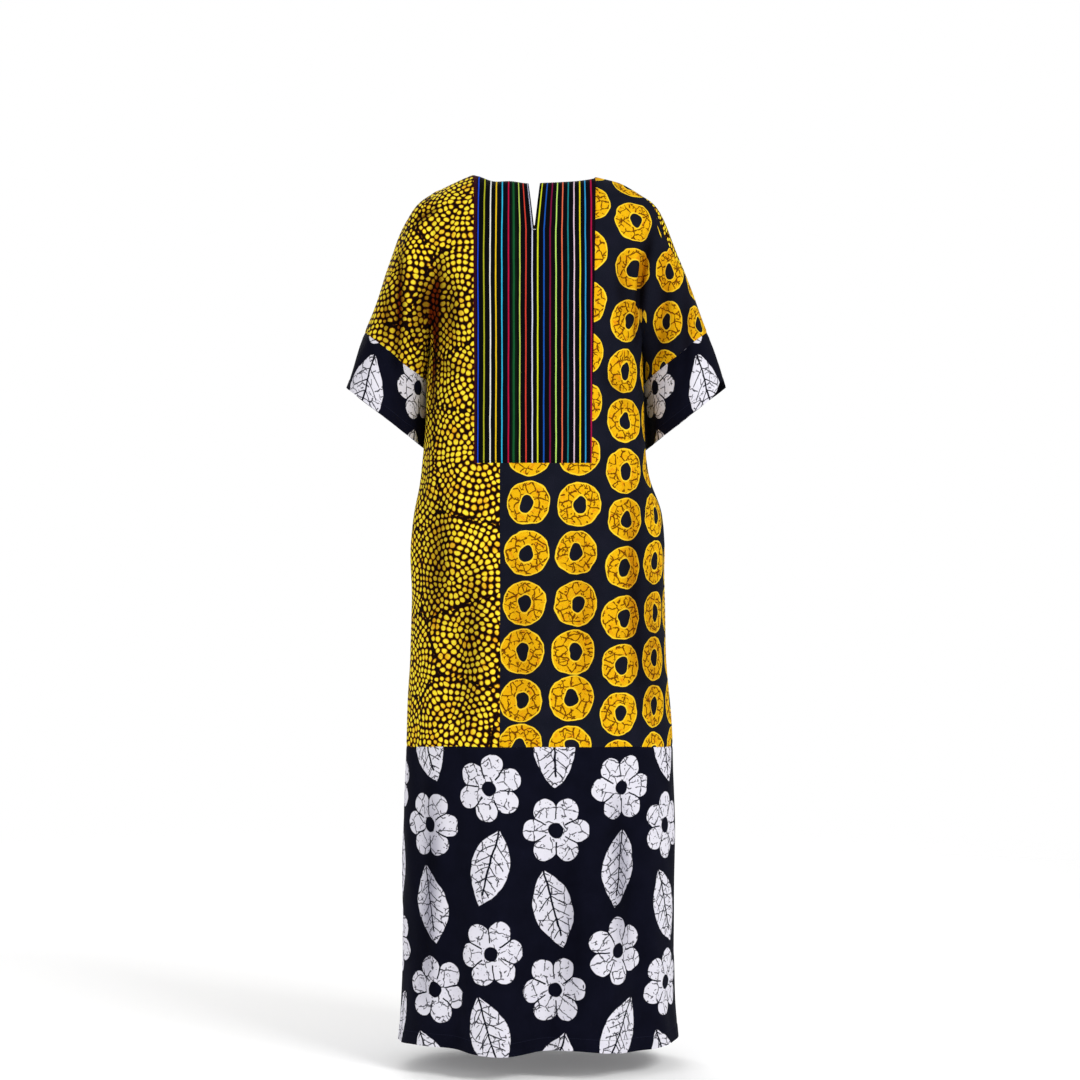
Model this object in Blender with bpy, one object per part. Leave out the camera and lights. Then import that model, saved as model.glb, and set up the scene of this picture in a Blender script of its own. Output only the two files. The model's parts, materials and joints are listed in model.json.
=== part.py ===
"""A kaftan-cut maxi dress in its hollow worn form: thin cloth panels, open at the neck, cuffs and hem.

The back faces -Y and the front +Y. The origin lies on the centre line at the height of the neck corners,
where shoulders carry the dress. Every cloth piece is a wall of even thickness whose outer face is one
shared garment surface, parted at the seams.
"""

import math
from collections import defaultdict, namedtuple

import bmesh
import bpy
import numpy as np

# Cloth walls and seams, in metres
WALL = 0.0015
SEAM_GAP = 0.0004
WELD_STEP = 1.0e-6
MITRE_LIMIT = 0.5
SMOOTH_ANGLE = math.radians(50.0)

# Heights of the level seams and edges
UNDERARM_Z = -0.285
STRIPE_BOTTOM_Z = -0.480
HEM_SEAM_Z = -0.947
HEM_Z = -1.430

# Neckline: corners on the shoulder line, round at the back and dropped at the front
NECK_CENTRE = -0.0020
NECK_HALF_WIDTH = 0.1006
NECK_LEFT = NECK_CENTRE - NECK_HALF_WIDTH
NECK_RIGHT = NECK_CENTRE + NECK_HALF_WIDTH
NECK_BACK_REACH = 0.055
NECK_FRONT_REACH = 0.078
NECK_BACK_DROP = 0.017
NECK_FRONT_DROP = 0.072
NECK_FRONT_POWER = 1.6
BACK_BASE_Z = -0.100
FRONT_BASE_Z = -0.128

# Share of the shoulder's drop that falls off evenly; the rest steepens towards the arm
SHOULDER_STRAIGHT = 0.72

# Foot corners of the striped panel, the seam below it, and the V slit at the neck
STRIPE_LEFT = -0.1005
STRIPE_RIGHT = 0.0905
DOT_SEAM = -0.0585
SLIT_X = -0.0027
SLIT_HALF_WIDTH = 0.0095
LEFT_OF_SLIT = 2
RIGHT_OF_SLIT = 3

# Grid of the garment surface
YOKE_ROWS = 4
ARMHOLE_ROWS = 12
UPPER_ROWS = 6
MIDDLE_ROWS = 11
HEM_ROWS = 10
SIDE_COLUMNS = 7
BACK_COLUMNS = (SIDE_COLUMNS, 2, 3, 5, SIDE_COLUMNS)
FRONT_COLUMNS = (SIDE_COLUMNS, 5, 5, SIDE_COLUMNS)
SLEEVE_ROWS = 5
BAND_ROWS = 3

# Roundness of a level section, 2 is an ellipse
SECTION_POWER = 2.3

# Half widths and depths of the body at each height; widths above the underarm come from the armhole
Body = namedtuple("Body", "height left right back front")
BODY = (
    Body(-0.100, 0.1760, 0.1760, 0.112, 0.092),
    Body(-0.150, 0.1760, 0.1760, 0.121, 0.108),
    Body(-0.220, 0.1760, 0.1760, 0.125, 0.124),
    Body(-0.285, 0.1760, 0.1760, 0.126, 0.133),
    Body(-0.345, 0.1800, 0.1790, 0.127, 0.137),
    Body(-0.400, 0.1820, 0.1805, 0.128, 0.138),
    Body(-0.447, 0.1850, 0.1830, 0.130, 0.138),
    Body(-0.505, 0.1915, 0.1895, 0.134, 0.137),
    Body(-0.560, 0.2030, 0.2065, 0.140, 0.137),
    Body(-0.605, 0.2075, 0.2115, 0.146, 0.138),
    Body(-0.700, 0.2065, 0.2130, 0.153, 0.141),
    Body(-0.840, 0.2110, 0.2185, 0.153, 0.147),
    Body(-0.947, 0.2150, 0.2250, 0.154, 0.152),
    Body(-1.110, 0.2210, 0.2300, 0.158, 0.160),
    Body(-1.300, 0.2225, 0.2290, 0.165, 0.169),
    Body(-1.372, 0.2240, 0.2300, 0.169, 0.173),
    Body(-1.430, 0.2295, 0.2360, 0.174, 0.178),
)

# Sleeve loops from the armhole to the cuff: the top point, the underarm point and the depths
Loop = namedtuple("Loop", "along top_x top_z under_x under_y under_z back front")
SLEEVE = (
    Loop(0.00, 0.1680, -0.0250, 0.1760, 0.000, -0.285, 0.074, 0.070),
    Loop(0.14, 0.1990, -0.0500, 0.1785, 0.015, -0.293, 0.080, 0.074),
    Loop(0.26, 0.2185, -0.0800, 0.1800, 0.030, -0.303, 0.085, 0.075),
    Loop(0.40, 0.2400, -0.1335, 0.1800, 0.046, -0.316, 0.090, 0.074),
    Loop(0.52, 0.2620, -0.1900, 0.1785, 0.058, -0.330, 0.094, 0.072),
    Loop(0.66, 0.2855, -0.2600, 0.1770, 0.068, -0.347, 0.097, 0.070),
    Loop(0.84, 0.3020, -0.3080, 0.1790, 0.070, -0.402, 0.098, 0.070),
    Loop(1.00, 0.3165, -0.3510, 0.1815, 0.070, -0.456, 0.098, 0.070),
)
BAND_START = 0.66

# Soft vertical folds: where each lies at its top and at the hem, and how far it stands out there
Fold = namedtuple("Fold", "face x_top x_hem z_top width out")
FOLDS = (
    Fold("back", -0.070, -0.063, -0.76, 0.040, 0.013),
    Fold("back", 0.004, 0.012, -0.90, 0.038, -0.022),
    Fold("back", 0.098, 0.116, -0.56, 0.036, 0.013),
    Fold("back", 0.128, 0.168, -0.66, 0.022, -0.012),
    Fold("back", -0.118, -0.140, -0.84, 0.026, -0.012),
    Fold("front", 0.082, 0.104, -0.40, 0.034, 0.014),
    Fold("front", 0.020, 0.034, -0.62, 0.030, -0.018),
    Fold("front", -0.060, -0.052, -0.46, 0.036, 0.015),
    Fold("front", -0.105, -0.124, -0.58, 0.026, -0.014),
    Fold("front", 0.128, 0.158, -0.70, 0.024, -0.012),
)

# Upright troughs beside the armholes, where the cloth breaks between body and arm
Crease = namedtuple("Crease", "face x_top x_bottom z_top z_bottom width depth")
CREASES = (
    Crease("back", -0.148, -0.162, -0.08, -0.42, 0.012, 0.010),
    Crease("back", 0.154, 0.160, -0.09, -0.44, 0.012, 0.011),
    Crease("back", 0.118, 0.126, -0.20, -0.52, 0.016, 0.005),
    Crease("front", -0.146, -0.154, -0.09, -0.40, 0.016, 0.008),
    Crease("front", 0.146, 0.154, -0.09, -0.42, 0.016, 0.008),
)

# Turn over which folds and creases fade out beside the armholes and side seams
RELIEF_FADE = 0.30

# A fold reaches its full depth this much sooner than the hem
FOLD_LEAD = 1.2

# Height of the point inside the chest that the yoke's cloth faces away from
CHEST_Z = -0.15

# How far the lower edge rises and falls round the hem, and how late that sets in
HEM_WAVE = 0.0035
HEM_WAVES = 5
HEM_WAVE_POWER = 3

Finish = namedtuple("Finish", "colour roughness metallic")
FINISHES = {
    "back_dot_panel": Finish((0.55, 0.36, 0.02), 0.75, 0.0),
    "back_ring_panel": Finish((0.62, 0.33, 0.02), 0.75, 0.0),
    "back_striped_panel": Finish((0.03, 0.03, 0.05), 0.70, 0.0),
    "front_ring_panel": Finish((0.62, 0.33, 0.02), 0.75, 0.0),
    "front_dot_panel": Finish((0.55, 0.36, 0.02), 0.75, 0.0),
    "hem_band_back": Finish((0.02, 0.025, 0.05), 0.75, 0.0),
    "hem_band_front": Finish((0.02, 0.025, 0.05), 0.75, 0.0),
    "sleeve_band_left": Finish((0.02, 0.025, 0.05), 0.75, 0.0),
    "sleeve_band_right": Finish((0.02, 0.025, 0.05), 0.75, 0.0),
}


def read_table(rows, column, at):
    """Smoothly interpolated value of one table column, with the first column as its places."""
    places = [row[0] for row in rows]
    values = [getattr(row, column) for row in rows]
    if places[0] > places[-1]:
        places = places[::-1]
        values = values[::-1]
    slopes = np.gradient(values, places)
    at = min(max(at, places[0]), places[-1])
    k = min(int(np.searchsorted(places, at, side="right")) - 1, len(places) - 2)
    span = places[k + 1] - places[k]
    t = (at - places[k]) / span
    rest = 1.0 - t
    return float(
        rest * rest * (1.0 + 2.0 * t) * values[k]
        + t * rest * rest * span * slopes[k]
        + t * t * (1.0 + 2.0 * rest) * values[k + 1]
        - t * t * rest * span * slopes[k + 1]
    )


def ease(value):
    """Smooth step from 0 to 1."""
    value = min(max(value, 0.0), 1.0)
    return value * value * (3.0 - 2.0 * value)


def bell(offset, width):
    """Smooth bump of height 1 at offset 0."""
    return math.exp(-((offset / width) ** 2))


def loop_point(side, face, along, turn):
    """Point of a sleeve loop; turn runs from 0 at the top to pi at the underarm."""
    top = np.array([read_table(SLEEVE, "top_x", along), 0.0, read_table(SLEEVE, "top_z", along)])
    under = np.array([read_table(SLEEVE, name, along) for name in ("under_x", "under_y", "under_z")])
    depth = read_table(SLEEVE, face, along) * (-1.0 if face == "back" else 1.0)
    point = (top + under) / 2.0 + (top - under) / 2.0 * math.cos(turn)
    point[1] += depth * math.sin(turn)
    point[0] *= side
    return point


def armhole_turn(height):
    """Turn at which the armhole loop has a height."""
    top = SLEEVE[0].top_z
    middle = (top + UNDERARM_Z) / 2.0
    return math.acos(min(max((height - middle) / (top - middle), -1.0), 1.0))


def edge_of_body(side, face, height):
    """X and depth of the body sheet's outer edge: the armhole above the underarm, the side seam below."""
    if height > UNDERARM_Z:
        point = loop_point(side, face, 0.0, armhole_turn(height))
        return abs(point[0]), abs(point[1])
    return read_table(BODY, "left" if side < 0 else "right", height), 0.0


def half_width(side, face, height):
    """Half width of the whole section whose curve meets the body sheet's outer edge."""
    x, depth = edge_of_body(side, face, height)
    whole = read_table(BODY, face, height)
    return x / (1.0 - (depth / whole) ** SECTION_POWER) ** (1.0 / SECTION_POWER)


def relief(face, x, height):
    """How far folds and creases move the cloth outward at a place."""
    out = 0.0
    for fold in FOLDS:
        if fold.face == face and height < fold.z_top:
            share = (fold.z_top - height) / (fold.z_top - HEM_Z)
            middle = fold.x_top + (fold.x_hem - fold.x_top) * share
            out += fold.out * ease(share * FOLD_LEAD) * bell(x - middle, fold.width)
    for crease in CREASES:
        if crease.face == face and crease.z_bottom < height < crease.z_top:
            share = (crease.z_top - height) / (crease.z_top - crease.z_bottom)
            middle = crease.x_top + (crease.x_bottom - crease.x_top) * share
            out -= crease.depth * math.sin(math.pi * share) * bell(x - middle, crease.width)
    return out


def section_point(face, x, height, turn=None):
    """Point of a level section, by its x or, near the side, by its turn from the side seam."""
    side = -1.0 if x < 0.0 else 1.0
    wide = half_width(side, face, height)
    deep = read_table(BODY, face, height)
    if turn is None:
        turn = turn_of(face, x, height)
    x = side * wide * math.cos(turn) ** (2.0 / SECTION_POWER)
    share = math.sin(turn) ** (2.0 / SECTION_POWER)
    fade = ease((turn - edge_turn(side, face, height)) / RELIEF_FADE)
    y = deep * share + relief(face, x, height) * fade
    return np.array([x, -y if face == "back" else y, height])


def turn_of(face, x, height):
    """Turn at which a level section has an x, from 0 at the side seam to half pi on the centre line."""
    wide = half_width(-1.0 if x < 0.0 else 1.0, face, height)
    return math.acos(min((abs(x) / wide) ** (SECTION_POWER / 2.0), 1.0))


def edge_turn(side, face, height):
    """Turn of the body sheet's outer edge."""
    if height <= UNDERARM_Z:
        return 0.0
    return turn_of(face, side * edge_of_body(side, face, height)[0], height)


def seam_lines(face, height):
    """X of the upright seams and guide lines at a height, from the left armhole line to the right."""
    if face == "front":
        return [NECK_LEFT, 0.0, NECK_RIGHT]
    share = min(height / STRIPE_BOTTOM_Z, 1.0)
    left = NECK_LEFT + (STRIPE_LEFT - NECK_LEFT) * share
    right = NECK_RIGHT + (STRIPE_RIGHT - NECK_RIGHT) * share
    return [left, DOT_SEAM, SLIT_X, right]


def columns(face):
    """Each column line as its span between two seam lines and its share of that span."""
    counts = BACK_COLUMNS if face == "back" else FRONT_COLUMNS
    lines = []
    for span, count in enumerate(counts):
        for step in range(count):
            lines.append((span, step / count))
    lines.append((len(counts) - 1, 1.0))
    return lines


def body_point(face, height, column):
    """Point of the body sheet below the yoke."""
    span, share = column
    seams = seam_lines(face, height)
    last = len(seams)
    if span == 0:
        start = edge_turn(-1.0, face, height)
        turn = start + (turn_of(face, seams[0], height) - start) * share
        return section_point(face, -1.0, height, turn)
    if span == last:
        start = turn_of(face, seams[-1], height)
        turn = start + (edge_turn(1.0, face, height) - start) * share
        return section_point(face, 1.0, height, turn)
    x = seams[span - 1] + (seams[span] - seams[span - 1]) * share
    return section_point(face, x, height)


def shoulder_height(x):
    """Height of the shoulder line from the neck corner to the armhole."""
    start = NECK_LEFT if x < 0.0 else NECK_RIGHT
    share = (abs(x) - abs(start)) / (SLEEVE[0].top_x - abs(start))
    return SLEEVE[0].top_z * share * (SHOULDER_STRAIGHT + (1.0 - SHOULDER_STRAIGHT) * share)


def top_point(face, column, slit_side):
    """Point of the body sheet's upper edge: the shoulder line or the neckline."""
    span, share = column
    seams = seam_lines(face, 0.0)
    outer = SLEEVE[0].top_x
    if span == 0:
        x = -outer + (seams[0] + outer) * share
    elif span == len(seams):
        x = seams[-1] + (outer - seams[-1]) * share
    else:
        x = seams[span - 1] + (seams[span] - seams[span - 1]) * share
    if span in (0, len(seams)):
        return np.array([x, 0.0, shoulder_height(x)])
    if face == "back":
        x = open_slit(x, span, share, slit_side)
    round_share = math.sqrt(max(1.0 - ((x - NECK_CENTRE) / NECK_HALF_WIDTH) ** 2, 0.0))
    if face == "back":
        return np.array([x, -NECK_BACK_REACH * round_share, -NECK_BACK_DROP * round_share])
    return np.array([x, NECK_FRONT_REACH * round_share, -NECK_FRONT_DROP * round_share ** NECK_FRONT_POWER])


def open_slit(x, span, share, slit_side):
    """X at the neckline with the panel parted at the slit."""
    if span == RIGHT_OF_SLIT:
        return x + SLIT_HALF_WIDTH * (1.0 - share) * (1.0 if slit_side > 0 or share > 0.0 else -1.0)
    if span == LEFT_OF_SLIT:
        return x - SLIT_HALF_WIDTH * share
    return x


def row_height(face, row, column):
    """Height of a grid row at a column, below the yoke; rows bend from the armhole to the centre."""
    if row < ARMHOLE_ROWS:
        base = BACK_BASE_Z if face == "back" else FRONT_BASE_Z
        turn = math.pi * row / ARMHOLE_ROWS
        edge = loop_point(1.0, face, 0.0, turn)[2]
        share = (row - YOKE_ROWS) / (ARMHOLE_ROWS - YOKE_ROWS)
        centre = base + (UNDERARM_Z - base) * share
        return edge + (centre - edge) * centre_share(face, column)
    row -= ARMHOLE_ROWS
    levels = (UNDERARM_Z, STRIPE_BOTTOM_Z, HEM_SEAM_Z, HEM_Z)
    for k, count in enumerate((UPPER_ROWS, MIDDLE_ROWS, HEM_ROWS)):
        if row <= count:
            return levels[k] + (levels[k + 1] - levels[k]) * row / count
        row -= count
    return HEM_Z


def centre_share(face, column):
    """0 at the armhole line, 1 between the seams beside the centre."""
    span, share = column
    last = len(seam_lines(face, 0.0))
    if span == 0:
        return ease(share)
    if span == last:
        return ease(1.0 - share)
    return 1.0


def yoke_point(face, row, column, slit_side):
    """Point between the upper edge and the yoke's base row, round over the shoulder."""
    base_turn = math.pi * YOKE_ROWS / ARMHOLE_ROWS
    turn = math.pi * row / ARMHOLE_ROWS
    top = top_point(face, column, slit_side)
    base = body_point(face, row_height(face, YOKE_ROWS, column), column)
    back = math.sin(turn) / math.sin(base_turn)
    down = (1.0 - math.cos(turn)) / (1.0 - math.cos(base_turn))
    return np.array([
        top[0] + (base[0] - top[0]) * down,
        top[1] + (base[1] - top[1]) * back,
        top[2] + (base[2] - top[2]) * down,
    ])


def grid_point(face, row, column, slit_side=1):
    """Point of the body sheet at a grid row and column."""
    outer = column in (columns(face)[0], columns(face)[-1])
    if outer and row <= ARMHOLE_ROWS:
        side = -1.0 if column[0] == 0 else 1.0
        return loop_point(side, face, 0.0, math.pi * row / ARMHOLE_ROWS)
    if row < YOKE_ROWS:
        return yoke_point(face, row, column, slit_side)
    height = row_height(face, row, column)
    point = body_point(face, height, column)
    share = max(0.0, (HEM_SEAM_Z - height) / (HEM_SEAM_Z - HEM_Z))
    around = math.atan2(point[0], point[1])
    point[2] += HEM_WAVE * share ** HEM_WAVE_POWER * math.sin(HEM_WAVES * around)
    return point


def piece_of_body(face, row, span):
    """Name of the piece that a grid cell is cut from."""
    hem_row = ARMHOLE_ROWS + UPPER_ROWS + MIDDLE_ROWS
    if row >= hem_row:
        return f"hem_band_{face}"
    if face == "front":
        return "front_ring_panel" if span < 2 else "front_dot_panel"
    if row < ARMHOLE_ROWS + UPPER_ROWS and 0 < span < 4:
        return "back_striped_panel"
    return "back_dot_panel" if span < 2 else "back_ring_panel"


def piece_of_sleeve(side, face, row):
    """Name of the piece that a sleeve cell is cut from."""
    if row >= SLEEVE_ROWS:
        return "sleeve_band_left" if side < 0 else "sleeve_band_right"
    if face == "back":
        return "back_dot_panel" if side < 0 else "back_ring_panel"
    return "front_ring_panel" if side < 0 else "front_dot_panel"


class Garment:
    """The garment surface: welded points and quads, each quad labelled with its piece."""

    def __init__(self):
        self.points = []
        self.index = {}
        self.quads = []

    def place(self, point):
        """Index of a point, shared by every quad that has it."""
        key = tuple(int(round(value / WELD_STEP)) for value in point)
        if key not in self.index:
            self.index[key] = len(self.points)
            self.points.append(np.array(point))
        return self.index[key]

    def add(self, piece, corners, inside):
        """Add a quad that faces away from a point inside the garment."""
        normal = np.cross(corners[2] - corners[0], corners[3] - corners[1])
        if np.dot(normal, sum(corners) / 4.0 - inside) < 0.0:
            corners = corners[::-1]
        self.quads.append((piece, [self.place(corner) for corner in corners]))

    def add_body(self, face):
        """The body sheet of one face, from the neck to the hem."""
        lines = columns(face)
        rows = ARMHOLE_ROWS + UPPER_ROWS + MIDDLE_ROWS + HEM_ROWS
        for row in range(rows):
            for left, right in zip(lines, lines[1:]):
                slit_side = 1 if left[0] >= RIGHT_OF_SLIT else -1
                corners = [
                    grid_point(face, row, left, slit_side),
                    grid_point(face, row, right, slit_side),
                    grid_point(face, row + 1, right, slit_side),
                    grid_point(face, row + 1, left, slit_side),
                ]
                middle = sum(corners) / 4.0
                inside = np.array([middle[0] * 0.5, 0.0, min(middle[2], CHEST_Z)])
                self.add(piece_of_body(face, row, left[0]), corners, inside)

    def add_sleeve(self, side, face):
        """One face of a sleeve, from the armhole to the cuff."""
        stops = [BAND_START * k / SLEEVE_ROWS for k in range(SLEEVE_ROWS)]
        stops += [BAND_START + (1.0 - BAND_START) * k / BAND_ROWS for k in range(BAND_ROWS + 1)]
        for row, (near, far) in enumerate(zip(stops, stops[1:])):
            for step in range(ARMHOLE_ROWS):
                turns = (math.pi * step / ARMHOLE_ROWS, math.pi * (step + 1) / ARMHOLE_ROWS)
                corners = [
                    loop_point(side, face, near, turns[0]),
                    loop_point(side, face, near, turns[1]),
                    loop_point(side, face, far, turns[1]),
                    loop_point(side, face, far, turns[0]),
                ]
                inside = (loop_point(side, face, near, 0.0) + loop_point(side, face, near, math.pi)) / 2.0
                self.add(piece_of_sleeve(side, face, row), corners, inside)

    def normals(self):
        """Outward unit normal of each point, over all the quads that meet there."""
        sums = np.zeros((len(self.points), 3))
        for _, quad in self.quads:
            a, b, c, d = (self.points[k] for k in quad)
            normal = np.cross(c - a, d - b)
            for k in quad:
                sums[k] += normal
        return sums / np.linalg.norm(sums, axis=1)[:, None]

    def seam_shifts(self, piece):
        """How far each seam point of a piece is drawn back from its seam, within the cloth."""
        owners = defaultdict(set)
        for name, quad in self.quads:
            for a, b in zip(quad, quad[1:] + quad[:1]):
                owners[frozenset((a, b))].add(name)
        inward = defaultdict(list)
        for name, quad in self.quads:
            if name != piece:
                continue
            middle = sum(self.points[k] for k in quad) / 4.0
            for a, b in zip(quad, quad[1:] + quad[:1]):
                if len(owners[frozenset((a, b))]) < 2:
                    continue
                along = self.points[b] - self.points[a]
                along /= np.linalg.norm(along)
                away = middle - (self.points[a] + self.points[b]) / 2.0
                away -= along * np.dot(away, along)
                away /= np.linalg.norm(away)
                inward[a].append(away)
                inward[b].append(away)
        shifts = {}
        for k, ways in inward.items():
            total = sum(ways)
            length = max(np.linalg.norm(total), 1.0e-9)
            way = total / length
            reach = max(min(float(np.dot(way, one)) for one in ways), MITRE_LIMIT)
            shifts[k] = way * SEAM_GAP / 2.0 / reach
        return shifts


def build_piece(garment, normals, name):
    """The closed wall of one piece, as its own object."""
    shifts = garment.seam_shifts(name)
    quads = [quad for piece, quad in garment.quads if piece == name]
    used = sorted({k for quad in quads for k in quad})
    mesh = bpy.data.meshes.new(name)
    shape = bmesh.new()
    outer = {}
    inner = {}
    for k in used:
        point = garment.points[k] + shifts.get(k, 0.0)
        outer[k] = shape.verts.new(point)
        inner[k] = shape.verts.new(point - normals[k] * WALL)
    sides = defaultdict(int)
    for quad in quads:
        shape.faces.new([outer[k] for k in quad])
        shape.faces.new([inner[k] for k in reversed(quad)])
        for edge in zip(quad, quad[1:] + quad[:1]):
            sides[edge] += 1
    for a, b in sides:
        if (b, a) not in sides:
            shape.faces.new([outer[b], outer[a], inner[a], inner[b]])
    shape.to_mesh(mesh)
    shape.free()
    mesh.shade_smooth()
    mesh.set_sharp_from_angle(angle=SMOOTH_ANGLE)
    piece = bpy.data.objects.new(name, mesh)
    bpy.context.scene.collection.objects.link(piece)
    piece.data.materials.append(build_material(name))
    return piece


def build_material(name):
    """A plain cloth material in the piece's main colour."""
    finish = FINISHES[name]
    material = bpy.data.materials.new(name)
    material.use_nodes = True
    shader = material.node_tree.nodes["Principled BSDF"]
    shader.inputs["Base Color"].default_value = (*finish.colour, 1.0)
    shader.inputs["Roughness"].default_value = finish.roughness
    shader.inputs["Metallic"].default_value = finish.metallic
    return material


def main():
    """Clear the scene and build every piece."""
    for old in list(bpy.data.objects):
        bpy.data.objects.remove(old)
    garment = Garment()
    for face in ("back", "front"):
        garment.add_body(face)
        for side in (-1.0, 1.0):
            garment.add_sleeve(side, face)
    normals = garment.normals()
    for name in FINISHES:
        build_piece(garment, normals, name)


main()
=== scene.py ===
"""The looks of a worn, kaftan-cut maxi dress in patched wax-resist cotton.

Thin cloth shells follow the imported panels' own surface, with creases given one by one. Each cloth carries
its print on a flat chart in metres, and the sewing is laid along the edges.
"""

import json
import logging
import math
from collections.abc import Callable
from dataclasses import dataclass
from enum import Enum
from typing import NamedTuple

import bpy
import numpy as np
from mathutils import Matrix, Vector
from mathutils.kdtree import KDTree

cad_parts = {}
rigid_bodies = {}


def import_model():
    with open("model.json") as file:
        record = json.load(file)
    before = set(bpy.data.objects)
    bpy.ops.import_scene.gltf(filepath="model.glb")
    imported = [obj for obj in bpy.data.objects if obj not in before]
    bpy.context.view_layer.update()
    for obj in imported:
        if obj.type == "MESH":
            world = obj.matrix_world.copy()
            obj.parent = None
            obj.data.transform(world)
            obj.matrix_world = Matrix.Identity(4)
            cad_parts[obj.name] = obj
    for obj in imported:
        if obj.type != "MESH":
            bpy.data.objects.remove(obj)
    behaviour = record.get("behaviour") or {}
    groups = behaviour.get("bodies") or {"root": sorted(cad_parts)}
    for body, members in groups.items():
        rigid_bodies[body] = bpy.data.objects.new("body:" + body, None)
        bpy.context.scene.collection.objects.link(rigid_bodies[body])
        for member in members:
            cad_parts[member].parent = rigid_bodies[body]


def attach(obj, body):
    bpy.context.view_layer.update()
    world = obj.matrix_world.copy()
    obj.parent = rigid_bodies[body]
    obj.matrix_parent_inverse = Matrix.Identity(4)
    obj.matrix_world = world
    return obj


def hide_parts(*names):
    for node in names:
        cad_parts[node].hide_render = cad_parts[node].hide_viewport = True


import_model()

LOG = logging.getLogger("maxi_dress")
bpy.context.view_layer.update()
BODY = "root"
UV_NAME = "cloth"
# Point attribute that marks creases; the cloth materials darken the print there as painted crease shade.
CREASE_SHADE_NAME = "fold"
SIDES = ("left", "right")
TURN = 2.0 * math.pi
TINY = 1.0e-12
SHARP_ANGLE = math.radians(62.0)
WIDTH_SCALE = 100.0
WHITE = (1.0, 1.0, 1.0, 1.0)

# Longer names for types used in many hints
Array = np.ndarray
Colour = tuple[float, float, float, float]
Shift = tuple[float, float, float]
Pair = tuple[float, float]
Groups = dict[str, bpy.types.NodeTree]


class Face(Enum):
    """The two faces of the dress."""

    BACK = "back"
    FRONT = "front"

    @property
    def sign(self) -> float:
        """Direction of the face along Y."""
        return -1.0 if self is Face.BACK else 1.0


class Section(NamedTuple):
    """Half widths and depths of the body at one height."""

    height: float
    left: float
    right: float
    back: float
    front: float


class Loop(NamedTuple):
    """One loop of a sleeve: its top point, its underarm point and its depths."""

    along: float
    top_x: float
    top_z: float
    under_x: float
    under_y: float
    under_z: float
    back: float
    front: float


class Fold(NamedTuple):
    """A soft upright fold of the skirt."""

    x_top: float
    x_hem: float
    z_top: float
    width: float
    out: float


class Trough(NamedTuple):
    """An upright trough beside an armhole."""

    x_top: float
    x_bottom: float
    z_top: float
    z_bottom: float
    width: float
    depth: float


class Crease(NamedTuple):
    """A soft crease from its start to its end, with a bow to one side; a roll of 1 follows the cloth."""

    x_start: float
    z_start: float
    x_end: float
    z_end: float
    bow: float
    width: float
    depth: float
    roll: float = 0.15


class Column(NamedTuple):
    """An upright grid line: the span between two seam lines and its share of that span."""

    span: int
    share: float


BODY_SECTIONS = (
    Section(-0.100, 0.1760, 0.1760, 0.112, 0.092),
    Section(-0.150, 0.1760, 0.1760, 0.121, 0.108),
    Section(-0.220, 0.1760, 0.1760, 0.125, 0.124),
    Section(-0.285, 0.1760, 0.1760, 0.126, 0.133),
    Section(-0.345, 0.1800, 0.1790, 0.127, 0.137),
    Section(-0.400, 0.1820, 0.1805, 0.128, 0.138),
    Section(-0.447, 0.1850, 0.1830, 0.130, 0.138),
    Section(-0.505, 0.1915, 0.1895, 0.134, 0.137),
    Section(-0.560, 0.2030, 0.2065, 0.140, 0.137),
    Section(-0.605, 0.2075, 0.2115, 0.146, 0.138),
    Section(-0.700, 0.2065, 0.2130, 0.153, 0.141),
    Section(-0.840, 0.2110, 0.2185, 0.153, 0.147),
    Section(-0.947, 0.2150, 0.2250, 0.154, 0.152),
    Section(-1.110, 0.2210, 0.2300, 0.158, 0.160),
    Section(-1.300, 0.2225, 0.2290, 0.165, 0.169),
    Section(-1.372, 0.2240, 0.2300, 0.169, 0.173),
    Section(-1.430, 0.2295, 0.2360, 0.174, 0.178),
)

SLEEVE_LOOPS = (
    Loop(0.00, 0.1680, -0.0250, 0.1760, 0.000, -0.285, 0.074, 0.070),
    Loop(0.14, 0.1990, -0.0500, 0.1750, 0.015, -0.293, 0.080, 0.074),
    Loop(0.26, 0.2185, -0.0800, 0.1745, 0.030, -0.303, 0.085, 0.075),
    Loop(0.40, 0.2400, -0.1335, 0.1740, 0.046, -0.316, 0.090, 0.074),
    Loop(0.52, 0.2620, -0.1900, 0.1735, 0.058, -0.330, 0.094, 0.072),
    Loop(0.66, 0.2855, -0.2600, 0.1745, 0.068, -0.347, 0.097, 0.070),
    Loop(0.84, 0.3020, -0.3080, 0.1790, 0.070, -0.402, 0.098, 0.070),
    Loop(1.00, 0.3165, -0.3510, 0.1815, 0.070, -0.456, 0.098, 0.070),
)

FOLDS = {
    Face.BACK: (
        Fold(-0.070, -0.063, -0.76, 0.040, 0.013),
        Fold(0.004, 0.012, -0.90, 0.038, -0.022),
        Fold(0.098, 0.116, -0.56, 0.036, 0.013),
        Fold(0.128, 0.168, -0.66, 0.022, -0.012),
        Fold(-0.118, -0.140, -0.84, 0.026, -0.012),
    ),
    Face.FRONT: (
        Fold(0.082, 0.104, -0.40, 0.034, 0.014),
        Fold(0.020, 0.034, -0.62, 0.030, -0.018),
        Fold(-0.060, -0.052, -0.46, 0.036, 0.015),
        Fold(-0.105, -0.124, -0.58, 0.026, -0.014),
        Fold(0.128, 0.158, -0.70, 0.024, -0.012),
    ),
}

TROUGHS = {
    Face.BACK: (
        Trough(-0.148, -0.162, -0.08, -0.42, 0.012, 0.010),
        Trough(0.154, 0.160, -0.09, -0.44, 0.012, 0.011),
        Trough(0.118, 0.126, -0.20, -0.52, 0.016, 0.005),
    ),
    Face.FRONT: (
        Trough(-0.146, -0.154, -0.09, -0.40, 0.016, 0.008),
        Trough(0.146, 0.154, -0.09, -0.42, 0.016, 0.008),
    ),
}

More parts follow.
